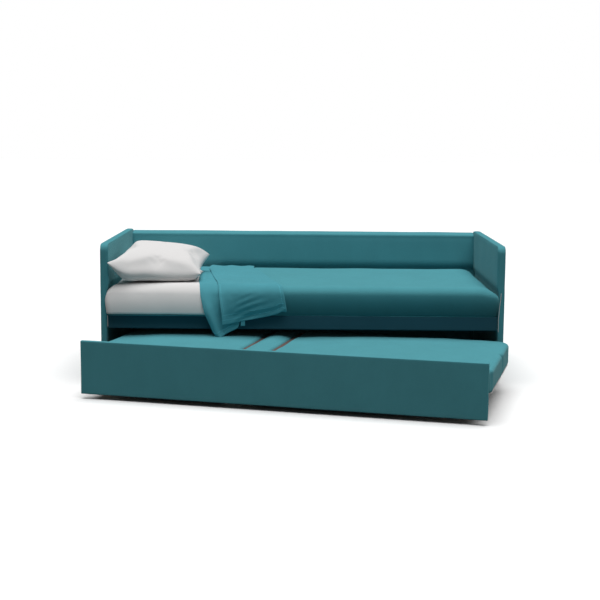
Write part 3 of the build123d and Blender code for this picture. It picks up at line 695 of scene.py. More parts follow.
def lean_in(points, level):
    """Leans the front and both ends in at the top, sinks the ends and tucks the bare front's foot under."""
    bare_from, bare_run = -0.50, 0.25
    lean_power, tuck_power, tuck_level = 1.9, 1.7, 0.85
    front_reach, lean_reach, drop_reach = 0.40, 0.30, 0.08
    p = points.copy()
    level = np.clip(level, 0, 1)
    bare = smooth((points[:, 0] - bare_from) / bare_run)
    lean = (SHEET_LEAN + (BARE_LEAN - SHEET_LEAN) * bare) * level ** lean_power
    foot = BARE_TUCK * bare * (1 - np.clip(level / tuck_level, 0, 1)) ** tuck_power
    p[:, 1] += (lean + foot) * (1 - smooth((points[:, 1] - MATTRESS_FRONT) / front_reach))
    from_end = MATTRESS_HIGH[0] - np.abs(points[:, 0])
    p[:, 0] -= np.sign(p[:, 0]) * END_LEAN * level ** lean_power * (1 - smooth(from_end / lean_reach))
    drop = np.where(points[:, 0] < 0, *END_DROPS)
    p[:, 2] -= drop * (1 - smooth(from_end / drop_reach)) * smooth(level)
    return p


class SOFABED_OT_finishes(bpy.types.Operator):
    """Makes every finish and gives it to the pieces of the frame"""

    bl_idname = "sofabed.finishes"
    bl_label = "Finishes"

    def execute(self, context):
        self.cloths(weave_group())
        self.timbers(grain_group())
        self.fittings(scuff_group())
        self.give_out()
        return {"FINISHED"}

    def cloths(self, weave):
        """Upholstery, bedding, hinge bands and sewing thread."""
        velvet = {"Sheen Weight": 0.20, "Sheen Roughness": 0.45, "Sheen Tint": (0.60, 1.0, 1.0, 1),
                  "Specular IOR Level": 0.0}
        crisp, matt = {"Specular IOR Level": 0.15}, {"Specular IOR Level": 0.2}
        plush = {"Pitch": 0.0016, "Cloud": 0.22, "Pile": 0.28, "Thread": 0.3}
        soft = {"Pitch": 0.0021, "Cloud": 0.26, "Pile": 0.4, "Thread": 0.25}
        fine = {"Pitch": 0.0009, "Cloud": 0.03, "Pile": 0.03, "Thread": 0.06}
        band = {"Pitch": 0.0014, "Cloud": 0.2, "Pile": 0.2, "Thread": 0.4}
        twist = {"Pitch": 0.0008, "Cloud": 0.1, "Pile": 0.2, "Thread": 0.5}
        for name, source, values, strength, depth, settings in (
                ("upholstery", "teal", plush, 0.35, 0.0008, velvet),
                ("mattress_cover", "teal", plush, 0.35, 0.0008, velvet),
                # A darker copy of the upholstery, painted shade for the front rail
                ("brushed_down", "painted_shade_teal", plush, 0.35, 0.0008, velvet),
                ("soft_cloth", "throw", soft, 0.4, 0.0009, velvet),
                ("linen", "linen", fine, 0.18, 0.0004, crisp),
                ("hinge_cloth", "hinge", band, 0.3, 0.0006, matt)):
            finish(name, weave, {"Colour": colour(source), **values}, strength, depth, settings)
        # Painted shade: the mattress cover's colour darkens towards its foot
        self.paint_foot_shade(bpy.data.materials["mattress_cover"], darkest=0.50)
        for name, source, lighter in (("teal_thread", "teal", 1.3), ("pale_thread", "throw", 2.4)):
            thread = (*(channel * lighter for channel in colour(source)[:3]), 1.0)
            finish(name, weave, {"Colour": thread, **twist}, strength=0.2, depth=0.0002, settings=matt)

    def timbers(self, grain):
        """Frame timber and slats, whose grain runs along each piece of the sofa or of the turned bed."""
        quarter = math.pi / 2
        for name, turn in (("across", 0.0), ("front_to_back", quarter),
                           ("bed_across", BED_TURN), ("bed_front_to_back", BED_TURN + quarter)):
            finish("timber_" + name, grain, {"Colour": colour("timber"), "Contrast": 0.9},
                   strength=0.25, depth=0.0006, settings={}, turn=turn)
            finish("slat_" + name, grain, {"Colour": colour("slats"), "Contrast": 0.8},
                   strength=0.2, depth=0.0004, settings={"Coat Weight": 0.15}, turn=turn)

    def fittings(self, scuff):
        """Plastic, steel and castor wheels."""
        metal = {"Metallic": 1.0}
        for name, source, roughness, wear, strength, depth, settings in (
                ("moulded_plastic", "plastic", 0.42, 0.5, 0.2, 0.0002, {}),
                ("dark_steel", "bracket", 0.45, 0.4, 0.12, 0.0001, metal),
                ("plated_steel", "steel", 0.34, 0.35, 0.12, 0.0001, metal),
                ("wheel_rubber", "tread", 0.62, 0.45, 0.3, 0.0003, {})):
            values = {"Colour": colour(source), "Roughness": roughness, "Scuff": wear}
            finish(name, scuff, values, strength, depth, settings)

    def give_out(self):
        """Gives the pieces of the frame their finishes; the padded ones are upholstered."""
        wanted = {
            "timber_across": ("back_board", "front_rail_board", "front_ledger", "rear_rail"),
            "timber_front_to_back": ("left_arm_board", "right_arm_board"),
            "timber_bed_across": ("pull_out_panel_board", "pull_out_front_rail", "pull_out_rear_rail",
                                  "castor_boards"),
            "timber_bed_front_to_back": ("pull_out_left_rail", "pull_out_right_rail",
                                         "pull_out_left_cross_bar", "pull_out_right_cross_bar"),
            "slat_front_to_back": ("upper_slats",),
            "slat_bed_front_to_back": ("pull_out_slats",),
            "moulded_plastic": ("upper_slat_caps", "floor_glides"),
            "dark_steel": ("corner_brackets", "bracket_bolts"),
            "plated_steel": ("panel_brackets", "castor_plates", "castor_plate_screws"),
        }
        chosen = {node: name for name, nodes in wanted.items() for node in nodes}
        for name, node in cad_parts.items():
            found = chosen.get(name, "upholstery")
            if name.startswith(("castor_fork", "castor_axle")):
                found = "plated_steel"
            if name.startswith("castor_wheel"):
                found = "wheel_rubber"
            node.data.materials.clear()
            node.data.materials.append(bpy.data.materials[found])

    def paint_foot_shade(self, material, darkest):
        """Paints shade into the cloth's colour, darker towards the foot of the mattress, where less light
        reaches it.
        """
        wires = Wiring(material.node_tree)
        height = wires.split(wires.node("ShaderNodeTexCoord").outputs["Object"])["Z"]
        level = wires.node("ShaderNodeMapRange", interpolation_type="SMOOTHSTEP")
        wires.link(height, level.inputs["Value"])
        fill(level.inputs, {"From Min": MATTRESS_LOW[2], "From Max": MATTRESS_EDGE_TOP,
                            "To Min": darkest, "To Max": 1.0})
        base = material.node_tree.nodes["Principled BSDF"].inputs["Base Color"]
        # The base colour is toned down towards the foot as painted shade
        wires.link(wires.toned(base.links[0].from_socket, level.outputs[0]), base)


# Below this height the arms are thinner by a step, which leaves the pull-out bed its room
ARM_STEP, ARM_FOOT, ARM_SWELL = 0.0098, 0.484, 0.04


def arm_step(height):
    """How much thinner an arm is at this height."""
    return ARM_STEP * (1 - smooth((height - ARM_FOOT) / ARM_SWELL))


class SOFABED_OT_arms(bpy.types.Operator):
    """Pads the two arms, with a welt and stitches along both sides of each"""

    bl_idname = "sofabed.arms"
    bl_label = "Arms"

    def execute(self, context):
        low, high = sofa_box("right_arm_cover")
        corners, rim, stitch_inset, puff_run = (0.012, 0.012, 0.019, 0.038), 0.011, 0.019, 0.05
        pad = Pad("X", low, high, corners, rim)

        def shape(points):
            """Steps the inner side back at its foot and swells both sides."""
            p = points.copy()
            inner = np.clip((high[0] - p[:, 0]) / (high[0] - low[0]), 0, 1)
            p[:, 0] += arm_step(p[:, 2]) * inner
            depth = np.minimum.reduce([p[:, 1] - low[1], high[1] - p[:, 1],
                                       high[2] - p[:, 2], p[:, 2] - low[2]])
            p[:, 0] += puffed(size("arm_puff"), depth, puff_run) * (1 - 2 * inner)
            return p

        points, faces = pad.surface(size("mesh_step"), end_step=0.01)
        points = shape(points)
        normals = normals_of(points, faces)
        edges, rows = ([shape(pad.seam(end, inset, ALL_BUT_FOOT)) for end in (-1, 1)]
                       for inset in (0.0, stitch_inset))
        for side, name in ((1, "right"), (-1, "left")):
            uneven = ripple(points, normals, depth=0.0014, scale=6.0, seed=side + 2)
            form = (uneven, faces) if side > 0 else mirrored(uneven, faces)
            flip = np.array((side, 1, 1))
            dress(mesh_object(name + "_arm_pad", *form, SOFA), "sofa", "upholstery", "teal_weave",
                  name + "_arm_cover")
            seam = welt(name + "_arm_welt", [edge * flip for edge in edges], size("welt"), place=SOFA)
            dress(seam, "sofa", "upholstery", "teal_weave")
            thread = stitches(name + "_arm_stitches", [row * flip for row in rows], "teal_thread", SOFA)
            dress(thread, "sofa", "teal_thread", "teal_weave")
        return {"FINISHED"}


class SOFABED_OT_back(bpy.types.Operator):
    """Pads the back between the arms, with a welt at each end"""

    bl_idname = "sofabed.back"
    bl_label = "Back"

    def execute(self, context):
        low, high = sofa_box("back_cover")
        corners, rim, welt_share = (0.012, 0.012, 0.020, 0.011), 0.010, 0.8
        pad = Pad("X", low, high, corners, rim)
        seat, pad_start, slope_top = 0.366, 0.392, 0.70
        low_shift, top_shift = 0.028, 0.034
        top_fall, fall_height = 0.017, 0.06
        tuck, tuck_top, tuck_height = 0.022, 0.556, 0.048
        beside_arm, arm_run = 0.05, 0.04
        puff_run, front_puff = 0.06, 1.4

        def shape(points):
            """Slopes the front back towards its top, tucks it in behind the mattress and swells it."""
            p = points.copy()
            front = np.clip((high[1] - p[:, 1]) / (high[1] - low[1]), 0, 1)
            below = low_shift * (1 - smooth((p[:, 2] - seat) / (pad_start - seat)))
            above = top_shift * np.clip((p[:, 2] - pad_start) / (slope_top - pad_start), 0, 1)
            tucked = tuck * np.clip((tuck_top - p[:, 2]) / tuck_height, 0, 1) ** 2
            p[:, 1] += (below + above + tucked) * front
            at_arm = smooth((np.abs(p[:, 0]) - (high[0] - beside_arm)) / arm_run)
            p[:, 0] += np.sign(p[:, 0]) * arm_step(p[:, 2]) * at_arm
            p[:, 2] -= top_fall * front * smooth((p[:, 2] - (high[2] - fall_height)) / fall_height)
            depth = np.minimum.reduce([p[:, 0] - low[0], high[0] - p[:, 0], high[2] - p[:, 2],
                                       np.abs(p[:, 2] - pad_start) * 2])
            p[:, 1] += puffed(size("back_puff"), depth, puff_run) * (1 - front_puff * front)
            return p

        points, faces = pad.surface(size("mesh_step"), end_step=0.02)
        points = stuffed(shape(points), faces, depth=0.002, scale=4.5, seed=5)
        dress(mesh_object("back_pad", points, faces, SOFA), "sofa", "upholstery", "teal_weave", "back_cover")
        edges = [shape(pad.seam(end, sides=ALL_BUT_FOOT)) for end in (-1, 1)]
        seam = welt("back_welt", edges, size("welt") * welt_share, place=SOFA)
        dress(seam, "sofa", "upholstery", "teal_weave")
        return {"FINISHED"}


class SOFABED_OT_front_rail(bpy.types.Operator):
    """Covers the front rail under the seat, with a piping at each end, its pale colour a painted highlight of
    the arms' inner front edges
    """

    bl_idname = "sofabed.front_rail"
    bl_label = "Front rail"

    def execute(self, context):
        low, high = sofa_box("front_rail_cover")
        edge, rim, piping_radius = 0.006, 0.004, 0.0016
        points, faces = Pad("X", low, high, [edge] * 4, rim).surface(step=0.008, end_step=0.014)
        points = stuffed(points, faces, depth=0.0009, scale=9.0, seed=8)
        # The front rail wears the darker copy of the upholstery, painted shade under the mattress's overhang
        dress(mesh_object("front_rail_pad", points, faces, SOFA), "sofa", "brushed_down", "teal_weave",
              "front_rail_cover")
        # Each end's piping as (how far to the right of its place, height)
        left_end, right_end, depth = -1.004, 1.0115, -0.0016
        at_left = ((0, 0.300), (0, 0.345), (-0.001, 0.358))
        at_right = ((0, 0.286), (0, 0.360), (0.003, 0.410), (0.008, 0.455), (0.010, 0.488))
        piping = [[(end + right, depth, height) for right, height in rows]
                  for end, rows in ((left_end, at_left), (right_end, at_right))]
        # Real piping in pale linen, whose paleness paints the highlight where the arms' inner front edges
        # catch the light
        dress(welt("rail_piping_painted_highlight", piping, piping_radius, place=SOFA), "sofa", "linen", "teal_weave")
        return {"FINISHED"}


class SOFABED_OT_upper_mattress(bpy.types.Operator):
    """Upper mattress, with a welt along its lower edge"""

    bl_idname = "sofabed.upper_mattress"
    bl_label = "Upper mattress"

    def execute(self, context):
        points, faces, pad = mattress_form(0.0)
        mattress = mesh_object("mattress_pad", points, faces, SOFA)
        dress(mattress, "sofa", "mattress_cover", "teal_weave", "upper_mattress")
        edge = mattress_shape(pad.seam(-1))
        seam = welt("mattress_welt", [edge], size("welt"), closed=True, place=SOFA)
        dress(seam, "sofa", "upholstery", "teal_weave")
        return {"FINISHED"}


class SOFABED_OT_fitted_sheet(bpy.types.Operator):
    """White sheet stretched over the left part of the upper mattress"""

    bl_idname = "sofabed.fitted_sheet"
    bl_label = "Fitted sheet"

    def execute(self, context):
        end, clearance, thickness, hem_drop = -0.47, 0.0022, 0.0012, 0.0015
        points, faces, _ = mattress_form(clearance)
        normals = normals_of(points, faces)
        points = ripple(points, normals, depth=0.0022, scale=9.0, seed=11)
        points = ripple(points, normals, depth=0.0010, scale=24.0, seed=12, stretch=(1.0, 1.0, 0.35))
        hem = MATTRESS_LOW[2] - hem_drop
        kept = [face for face in faces
                if max(points[n][0] for n in face) < end and min(points[n][2] for n in face) > hem]
        used = sorted({n for face in kept for n in face})
        renumber = {old: new for new, old in enumerate(used)}
        faces = [tuple(renumber[n] for n in face) for face in kept]
        sheet = mesh_object("bed_sheet", points[used], faces, SOFA)
        adjust(sheet.modifiers.new("thickness", "SOLIDIFY"), thickness=thickness, offset=1)
        settled(sheet)
        dress(sheet, "sofa", "linen", "white_linen", "fitted_sheet")
        return {"FINISHED"}


class SOFABED_OT_pillow(bpy.types.Operator):
    """Plump white pillow that leans on the left arm"""

    bl_idname = "sofabed.pillow"
    bl_label = "Pillow"

    def execute(self, context):
        width, depth = 0.50, 0.52
        points, faces = self.envelope(width, depth, count=52)
        pillow = mesh_object("white_pillow", points, faces)
        inflate(pillow, frames=20, pressure=4.5, cap=0.022)
        points = places(pillow.data)
        placed = self.laid(points, points[:, 0] / width * 2, points[:, 1] / depth * 2)
        placed = stuffed(placed, faces, depth=0.0035, scale=9.0, seed=17, stretch=(1.0, 1.0, 1.6))
        pillow.data.vertices.foreach_set("co", placed.ravel())
        pillow.data.transform(SOFA)
        adjust(pillow.modifiers.new("finer", "SUBSURF"), levels=1, render_levels=1)
        settled(pillow)
        dress(pillow, "sofa", "linen", "white_linen", "pillow")
        return {"FINISHED"}

    def envelope(self, width, depth, count):
        """Two swollen sheets of cloth joined along their edges, their corners left standing out."""
        waist, thick, flatness, roundness = 0.055, 0.074, 2.4, 0.55
        row = count + 1
        top, bottom = [], []
        for j in range(row):
            for i in range(row):
                u, v = 2 * i / count - 1, 2 * j / count - 1
                x = u * width / 2 * (1 - waist * (1 - v * v))
                y = v * depth / 2 * (1 - waist * (1 - u * u))
                z = thick * ((1 - abs(u) ** flatness) * (1 - abs(v) ** flatness)) ** roundness
                top.append((x, y, z))
                bottom.append((x, y, -z))
        points = list(top)
        under = {}
        for n, p in enumerate(bottom):
            on_edge = n % row in (0, count) or n // row in (0, count)
            under[n] = n if on_edge else len(points)
            if not on_edge:
                points.append(p)
        faces = []
        for j in range(count):
            for i in range(count):
                a = j * row + i
                b, c, d = a + 1, a + row + 1, a + row
                faces += [(a, b, c, d), (under[a], under[d], under[c], under[b])]
        return points, faces

    def laid(self, points, u, v):
        """Carries the pillow's points to its place, where it gives way to the mattress and the arm."""
        # Where each corner lies, by its side (-1 is left) and its end (-1 is the front)
        corners = {(-1, -1): (-1.022, -0.050, 0.653), (1, -1): (-0.508, 0.070, 0.571),
                   (1, 1): (-0.500, 0.565, 0.622), (-1, 1): (-0.965, 0.500, 0.664)}
        lean, made_height, hollow = Vector((-0.03, -0.02, 1)).normalized(), 0.175, 0.020
        front_sag, left_sag, sag_place, sag_width = 0.055, 0.024, -0.60, 0.30
        over_mattress, soft, hardest = 0.006, 0.014, -8
        off_arm, past_arm, arm_front, arm_corner, give = 0.006, 0.06, 0.002, 0.02, 0.08
        placed = np.zeros_like(points)
        for (su, sv), spot in corners.items():
            placed += ((1 + su * u) / 2 * (1 + sv * v) / 2)[:, None] * np.array(spot)
        placed += points[:, 2:3] * np.array(lean) * size("pillow_height") / made_height
        placed[:, 2] -= hollow * (1 - u ** 2) * (1 - v ** 2)
        sag = front_sag + left_sag * hump(u, sag_place, sag_width)
        placed[:, 2] -= sag * (1 - np.where(u < 0, u ** 4, u ** 2)) * ((1 - v) / 2) ** 2
        floor = MATTRESS_EDGE_TOP + mattress_rise(placed[:, 0], placed[:, 1]) + over_mattress
        above = placed[:, 2] - floor
        pressed = soft * np.exp(np.clip(above / soft - 1, hardest, 0))
        placed[:, 2] = floor + np.where(above > soft, above, pressed)
        wall = MATTRESS_LOW[0] + off_arm - past_arm * smooth((arm_front - placed[:, 1]) / arm_corner)
        placed[:, 0] = np.maximum(placed[:, 0], wall + (placed[:, 0] - wall) * give)
        return placed


def inflate(obj, frames, pressure, cap):
    """Lets a closed cloth form swell, no point moving further than the cap."""
    scene = bpy.context.scene
    rest = places(obj.data)
    cloth = obj.modifiers.new("swell", "CLOTH")
    adjust(cloth.settings, quality=6, mass=0.3, tension_stiffness=15, compression_stiffness=15,
           shear_stiffness=5, bending_stiffness=0.4, use_pressure=True, uniform_pressure_force=pressure)
    cloth.settings.effector_weights.gravity = 0
    cloth.collision_settings.use_collision = False
    adjust(cloth.point_cache, frame_start=1, frame_end=frames)
    for step in range(1, frames + 1):
        scene.frame_set(step)
    mesh = evaluated(obj)
    move = places(mesh) - rest
    bpy.data.meshes.remove(mesh)
    length = np.maximum(np.linalg.norm(move, axis=1), 1e-9)
    move *= (np.minimum(length, cap) / length)[:, None]
    obj.modifiers.clear()
    obj.data.vertices.foreach_set("co", (rest + move).ravel())
    obj.data.update()
    scene.frame_set(1)


# The throw's edges, as (distance past the start of the mattress's front curve, place across)
THROW_REAR = -0.82
UNDER_LEFT = ((THROW_REAR, -0.600), (-0.66, -0.600), (-0.58, -0.575), (-0.51, -0.553), (-0.375, -0.554),
              (-0.093, -0.545), (0.02, -0.534), (0.083, -0.524), (0.165, -0.504), (0.217, -0.48),
              (0.27, -0.457), (0.299, -0.436))
OVER_LEFT = ((-0.7, -0.53), (-0.58, -0.523), (-0.383, -0.496), (-0.135, -0.463), (0.03, -0.437),
             (0.121, -0.423), (0.188, -0.413), (0.239, -0.41))
RIGHT = ((-0.7, -0.287), (-0.62, -0.27), (-0.396, -0.223), (-0.13, -0.17), (0.0, -0.129), (0.03, -0.108),
         (0.087, -0.097), (0.126, -0.09), (0.169, -0.083))
# The throw's lower hems, as (share of the way across, distance)
UNDER_HEM = ((0.0, 0.292), (0.04, 0.297), (0.113, 0.286), (0.207, 0.271), (0.3, 0.257), (0.36, 0.245),
             (0.43, 0.194), (1.0, 0.144))
OVER_HEM = ((0.0, 0.237), (0.155, 0.231), (0.275, 0.2225), (0.355, 0.2155), (0.505, 0.208), (0.656, 0.198),
            (0.756, 0.191), (0.854, 0.182), (0.934, 0.167), (1.0, 0.172))
# How far the middle of each layer lies above the mattress
UNDER_LIFT, OVER_LIFT = 0.0035, 0.0090


def between(table, place):
    """Reads a table of pairs at this place."""
    return np.interp(place, [row[0] for row in table], [row[1] for row in table])


class SOFABED_OT_throw(bpy.types.Operator):
    """Throw folded in two over the mattress, its corner hanging low at the left"""

    bl_idname = "sofabed.throw"
    bl_label = "Throw"

    def execute(self, context):
        # Mesh lines over the width of each layer, round the fold and along the throw
        across, fold, along = 56, 6, 130
        thickness, width = 0.003, 0.82
        shares = [n / across for n in range(across + 1)]
        columns = [("under", share) for share in shares]
        columns += [("fold", (n + 1) / (fold + 1)) for n in range(fold)]
        columns += [("over", 1 - share) for share in shares]
        points = np.array([self.column(layer, share, along) for layer, share in columns])
        row = along + 1
        faces = [(c * row + n, c * row + n + 1, (c + 1) * row + n + 1, (c + 1) * row + n)
                 for c in range(len(columns) - 1) for n in range(along)]
        throw = mesh_object("folded_throw", points.reshape(-1, 3), faces, SOFA)
        adjust(throw.modifiers.new("thickness", "SOLIDIFY"), thickness=thickness, offset=0)
        adjust(throw.modifiers.new("finer", "SUBSURF"), levels=1, render_levels=1)
        settled(throw)
        dress(throw, "sofa", "soft_cloth", "throw_cloth", "throw_blanket")
        self.sew_hems(points[:across + 1], points[across + fold + 1:])
        self.tab(points[across + fold + 1:])
        return {"FINISHED"}

    def sew_hems(self, under, over):
        """Stitches above the lower hems and beside both edges of the upper layer, where they can be seen."""
        outward, stitch_radius = np.array((0, -0.0024, 0)), 0.0007
        # Counted in mesh lines from the start or, below nought, from the end of the cloth
        near_hem, far_hem, near_edge, far_edge = -4, -7, 2, -3
        under_shows, front_shows, front_ends = 18, 60, -3
        hems = [over[1:-1, near_hem], over[1:-1, far_hem], under[1:under_shows, near_hem],
                over[near_edge, front_shows:front_ends], over[far_edge, front_shows:front_ends]]
        rows = [hem + outward for hem in hems]
        thread = stitches("throw_stitches", rows, "pale_thread", SOFA, stitch_radius)
        dress(thread, "sofa", "pale_thread", "throw_cloth")

    def column(self, layer, share, along):
        """One line of the throw, from its rear edge over the mattress to its hem."""
        fold_bulge = 0.004
        if layer == "fold":
            hem = UNDER_HEM[-1][1] + (OVER_HEM[-1][1] - UNDER_HEM[-1][1]) * share
            lift = (UNDER_LIFT + OVER_LIFT - (OVER_LIFT - UNDER_LIFT) * math.cos(math.pi * share)) / 2
        else:
            hem = between(UNDER_HEM if layer == "under" else OVER_HEM, share)
            lift = UNDER_LIFT if layer == "under" else OVER_LIFT
        distance = THROW_REAR + (hem - THROW_REAR) * np.linspace(0, 1, along + 1)
        right = between(RIGHT, distance)
        if layer == "fold":
            x = right + fold_bulge * math.sin(math.pi * share)
        else:
            left = between(UNDER_LEFT if layer == "under" else OVER_LEFT, distance)
            x = left + (right - left) * share
        y, z = self.drape(x, distance, lift)
        forward, up = self.folds(layer, share, x, distance)
        return self.crumpled(np.stack([x, y - forward, z + up], axis=1), distance)

    def folds(self, layer, share, x, distance):
        """How far a line stands forward where it hangs, and up where it lies on the mattress."""
        hang_start, hang_run, lie_run = 0.02, 0.16, 0.05
        hang = smooth((distance - hang_start) / hang_run)
        lying = smooth(-distance / lie_run)
        if layer == "fold":
            off_mattress = 0.009
            return off_mattress * hang, 0.0
        if layer == "under":
            # Its left edge rolls outwards
            off_mattress, roll_place, roll_width = 0.006, 0.055, 0.065
            roll_forward, roll_up, roll_start, roll_run = 0.022, 0.016, -0.55, 0.3
            roll = hump(share, roll_place, roll_width)
            return (hang * (off_mattress + roll_forward * roll),
                    roll_up * roll * lying * smooth((distance - roll_start) / roll_run))
        # The upper layer stands off at its left edge, hangs in slanting folds and lies in low waves
        off_mattress, edge_forward, edge_up, edge_place, edge_width = 0.012, 0.014, 0.002, 0.03, 0.05
        fold_depth, fold_spacing, slope, bending = 0.0050, 0.042, 0.49, 0.9
        folds_start, folds_run, patch_middle, patch_swing = 0.10, 0.25, 0.5, 1.6
        wave_up, turns_across, turns_along = 0.0018, 15, 7
        forward = hang * (off_mattress + edge_forward * hump(share, 0, edge_width))
        slant = (distance + slope * x) / fold_spacing
        bend = self.noise_along(x, distance, 5.0, 5.0, seed=3.0)
        patch = smooth(patch_middle + patch_swing * self.noise_along(x, distance, 9.0, 7.0, seed=8.0))
        wave = np.sin(2 * math.pi * (slant + bending * bend))
        forward += fold_depth * hang * wave * patch * smooth((share - folds_start) / folds_run)
        up = edge_up * hump(share, edge_place, edge_width) * lying
        return forward, up + wave_up * np.sin(share * turns_across + distance * turns_along) * lying

    def noise_along(self, x, distance, x_scale, distance_scale, seed):
        """A smooth noise over the flat cloth, read along one line."""
        return np.array([noise.noise(Vector((a * x_scale, b * distance_scale, seed)))
                         for a, b in zip(x, distance)])

    def crumpled(self, rows, distance):
        """Leans a line with the mattress and gives it small creases, which never press it into the top."""
        coarse, fine, coarse_depth, fine_depth = 11.0, 34.0, 0.0024, 0.0009
        least_up, least_out, down_start, down_run = 0.001, 0.002, -0.01, 0.05
        rows = lean_in(rows, mattress_level(rows[:, 2]))
        shift = Vector((4.0, 0, 0))
        down = smooth((distance - down_start) / down_run)
        for n, p in enumerate(rows):
            at = Vector(p)
            wave = coarse_depth * noise.noise(at * coarse + shift)
            wave += fine_depth * noise.noise(at * fine + shift)
            rows[n, 2] += max(0.0, wave + least_up) * (1 - down[n])
            rows[n, 1] -= (wave + least_out) * down[n]
        return rows

    def drape(self, x, distance, lift):
        """Height and depth of cloth on the mattress and over its front, lifted off it by a little."""
        crown_end, crown_run = 0.03, 0.06
        bend = MATTRESS_RIM + lift
        turn = np.clip(distance / bend, 0, math.pi / 2)
        hang = np.clip(distance - bend * math.pi / 2, 0, None)
        y = MATTRESS_FRONT + MATTRESS_RIM + np.clip(-distance, 0, None) - bend * np.sin(turn)
        z = MATTRESS_EDGE_TOP - MATTRESS_RIM + bend * np.cos(turn) - hang
        return y, z + mattress_rise(x, y) * smooth((crown_end - distance) / crown_run)

    def tab(self, over):
        """A small folded strip sewn behind the upper layer's hem."""
        place, behind, edge, rim = -0.305, 0.004, 0.0015, 0.0014
        half_width, half_thickness, drop, hidden = 0.011, 0.0016, 0.026, 0.012
        top = over[np.argmin(np.abs(over[:, -1, 0] - place)), -1]
        low = top + np.array((-half_width, behind - half_thickness, -drop))
        high = top + np.array((half_width, behind + half_thickness, hidden))
        points, faces = Pad("Z", low, high, [edge] * 4, rim).surface(step=0.003)
        dress(mesh_object("throw_tab", points, faces, SOFA), "sofa", "soft_cloth", "throw_cloth")


class SOFABED_OT_pull_out_panel(bpy.types.Operator):
    """Cloth-covered front panel of the pull-out bed"""

    bl_idname = "sofabed.pull_out_panel"
    bl_label = "Pull-out panel"

    def execute(self, context):
        low = np.array((0, 0, PANEL_BOX[0].z))
        high = np.array((PANEL_LENGTH, PANEL_THICKNESS, PANEL_BOX[1].z))
        edge, rim = 0.004, 0.003
        points, faces = Pad("X", low, high, [edge] * 4, rim).surface(step=0.011, end_step=0.014)
        points = stuffed(points, faces, depth=0.0010, scale=5.0, seed=21)
        panel = mesh_object("pull_out_panel_pad", points, faces, BED)
        dress(panel, "pull_out_bed", "upholstery", "teal_weave", "pull_out_panel_cover")
        return {"FINISHED"}


# Each mattress block's left side, right side and corner radius, measured along the bed's panel
BLOCKS = {
    "left": (0.035, 0.739, 0.050),
    "middle": (0.760, 0.888, 0.028),
    "right": (0.912, 1.9945, 0.062),
}
BLOCK_FRONT, BLOCK_BACK = 0.0226, 0.852
BLOCK_LOW, BLOCK_EDGE_TOP = 0.1463, 0.2483
BLOCK_RIM = 0.018
# Where the timber base ends, past which the right block hangs down a little
BASE_END, BLOCK_DROOP = 1.925, 0.012
# The right block's creases, as (place from front to back, depth, width)
BLOCK_CREASES = ((0.075, 0.014, 0.012), (0.50, 0.016, 0.018))


class SOFABED_OT_pull_out_blocks(bpy.types.Operator):
    """The three mattress blocks of the pull-out bed, with the bands that join them"""

    bl_idname = "sofabed.pull_out_blocks"
    bl_label = "Pull-out mattress"

    def execute(self, context):
        welt_radius, welt_drop, band_gap = 0.003, 0.004, 0.001
        for seed, (name, (left, right, corner)) in enumerate(BLOCKS.items(), 31):
            low = np.array((left, BLOCK_FRONT, BLOCK_LOW))
            high = np.array((right, BLOCK_BACK, BLOCK_EDGE_TOP))
            pad = Pad("Z", low, high, [corner] * 4, BLOCK_RIM)
            points, faces = pad.surface(step=0.012)
            shaped = stuffed(self.shape(points, low, high), faces, depth=0.0030, scale=7.0, seed=seed)
            block = mesh_object(name + "_block_pad", shaped, faces, BED)
            dress(block, "pull_out_bed", "upholstery", "teal_weave", name + "_mattress_block")
            edge = self.shape(pad.seam(-1), low, high) - (0, 0, welt_drop)
            seam = welt(name + "_block_welt", [edge], welt_radius, closed=True, place=BED)
            dress(seam, "pull_out_bed", "linen", "teal_weave")
        names = list(BLOCKS)
        for number, (first, second) in enumerate(zip(names, names[1:]), 1):
            self.hinge(f"block_hinge_{number}", BLOCKS[first][1] + band_gap, BLOCKS[second][0] - band_gap)
        return {"FINISHED"}

    def hinge(self, name, left, right):
        """A band of brown cloth that joins two blocks, a little below their tops."""
        below, thickness, margin = 0.010, 0.004, 0.004
        edge, rim = 0.0018, 0.0016
        low = np.array((left, BLOCK_FRONT + margin, BLOCK_EDGE_TOP - below - thickness))
        high = np.array((right, BLOCK_BACK - margin, BLOCK_EDGE_TOP - below))
        points, faces = Pad("Y", low, high, [edge] * 4, rim).surface(step=0.004, end_step=0.012)
        points = stuffed(points, faces, depth=0.0010, scale=16.0, seed=41)
        dress(mesh_object(name, points, faces, BED), "pull_out_bed", "hinge_cloth", "teal_weave")

    def shape(self, points, low, high):
        """Crowns a block, lets the right block's overhang droop and pinches its outer side at its creases."""
        top_droop, foot_pinch, side_width = 0.3, 0.3, 0.05
        p = points.copy()
        middle, half = (low + high) / 2, (high - low) / 2
        along = np.clip((p[:, 0] - middle[0]) / (half[0] - BLOCK_RIM), -1, 1)
        over = np.clip((p[:, 1] - middle[1]) / (half[1] - BLOCK_RIM), -1, 1)
        level = smooth((p[:, 2] - low[2]) / (high[2] - low[2]))
        p[:, 2] += size("block_crown") * (1 - along ** 2) * (1 - over ** 2) * level
        # Only the right block reaches past the end of the panel
        if high[0] > PANEL_LENGTH:
            past_base = smooth((p[:, 0] - BASE_END) / (high[0] - BASE_END))
            p[:, 2] -= BLOCK_DROOP * past_base * (1 - (1 - top_droop) * level)
            side = smooth((p[:, 0] - (high[0] - side_width)) / side_width)
            for place, deep, wide in BLOCK_CREASES:
                p[:, 0] -= deep * side * (foot_pinch + (1 - foot_pinch) * level) * hump(p[:, 1], place, wide)
        return p


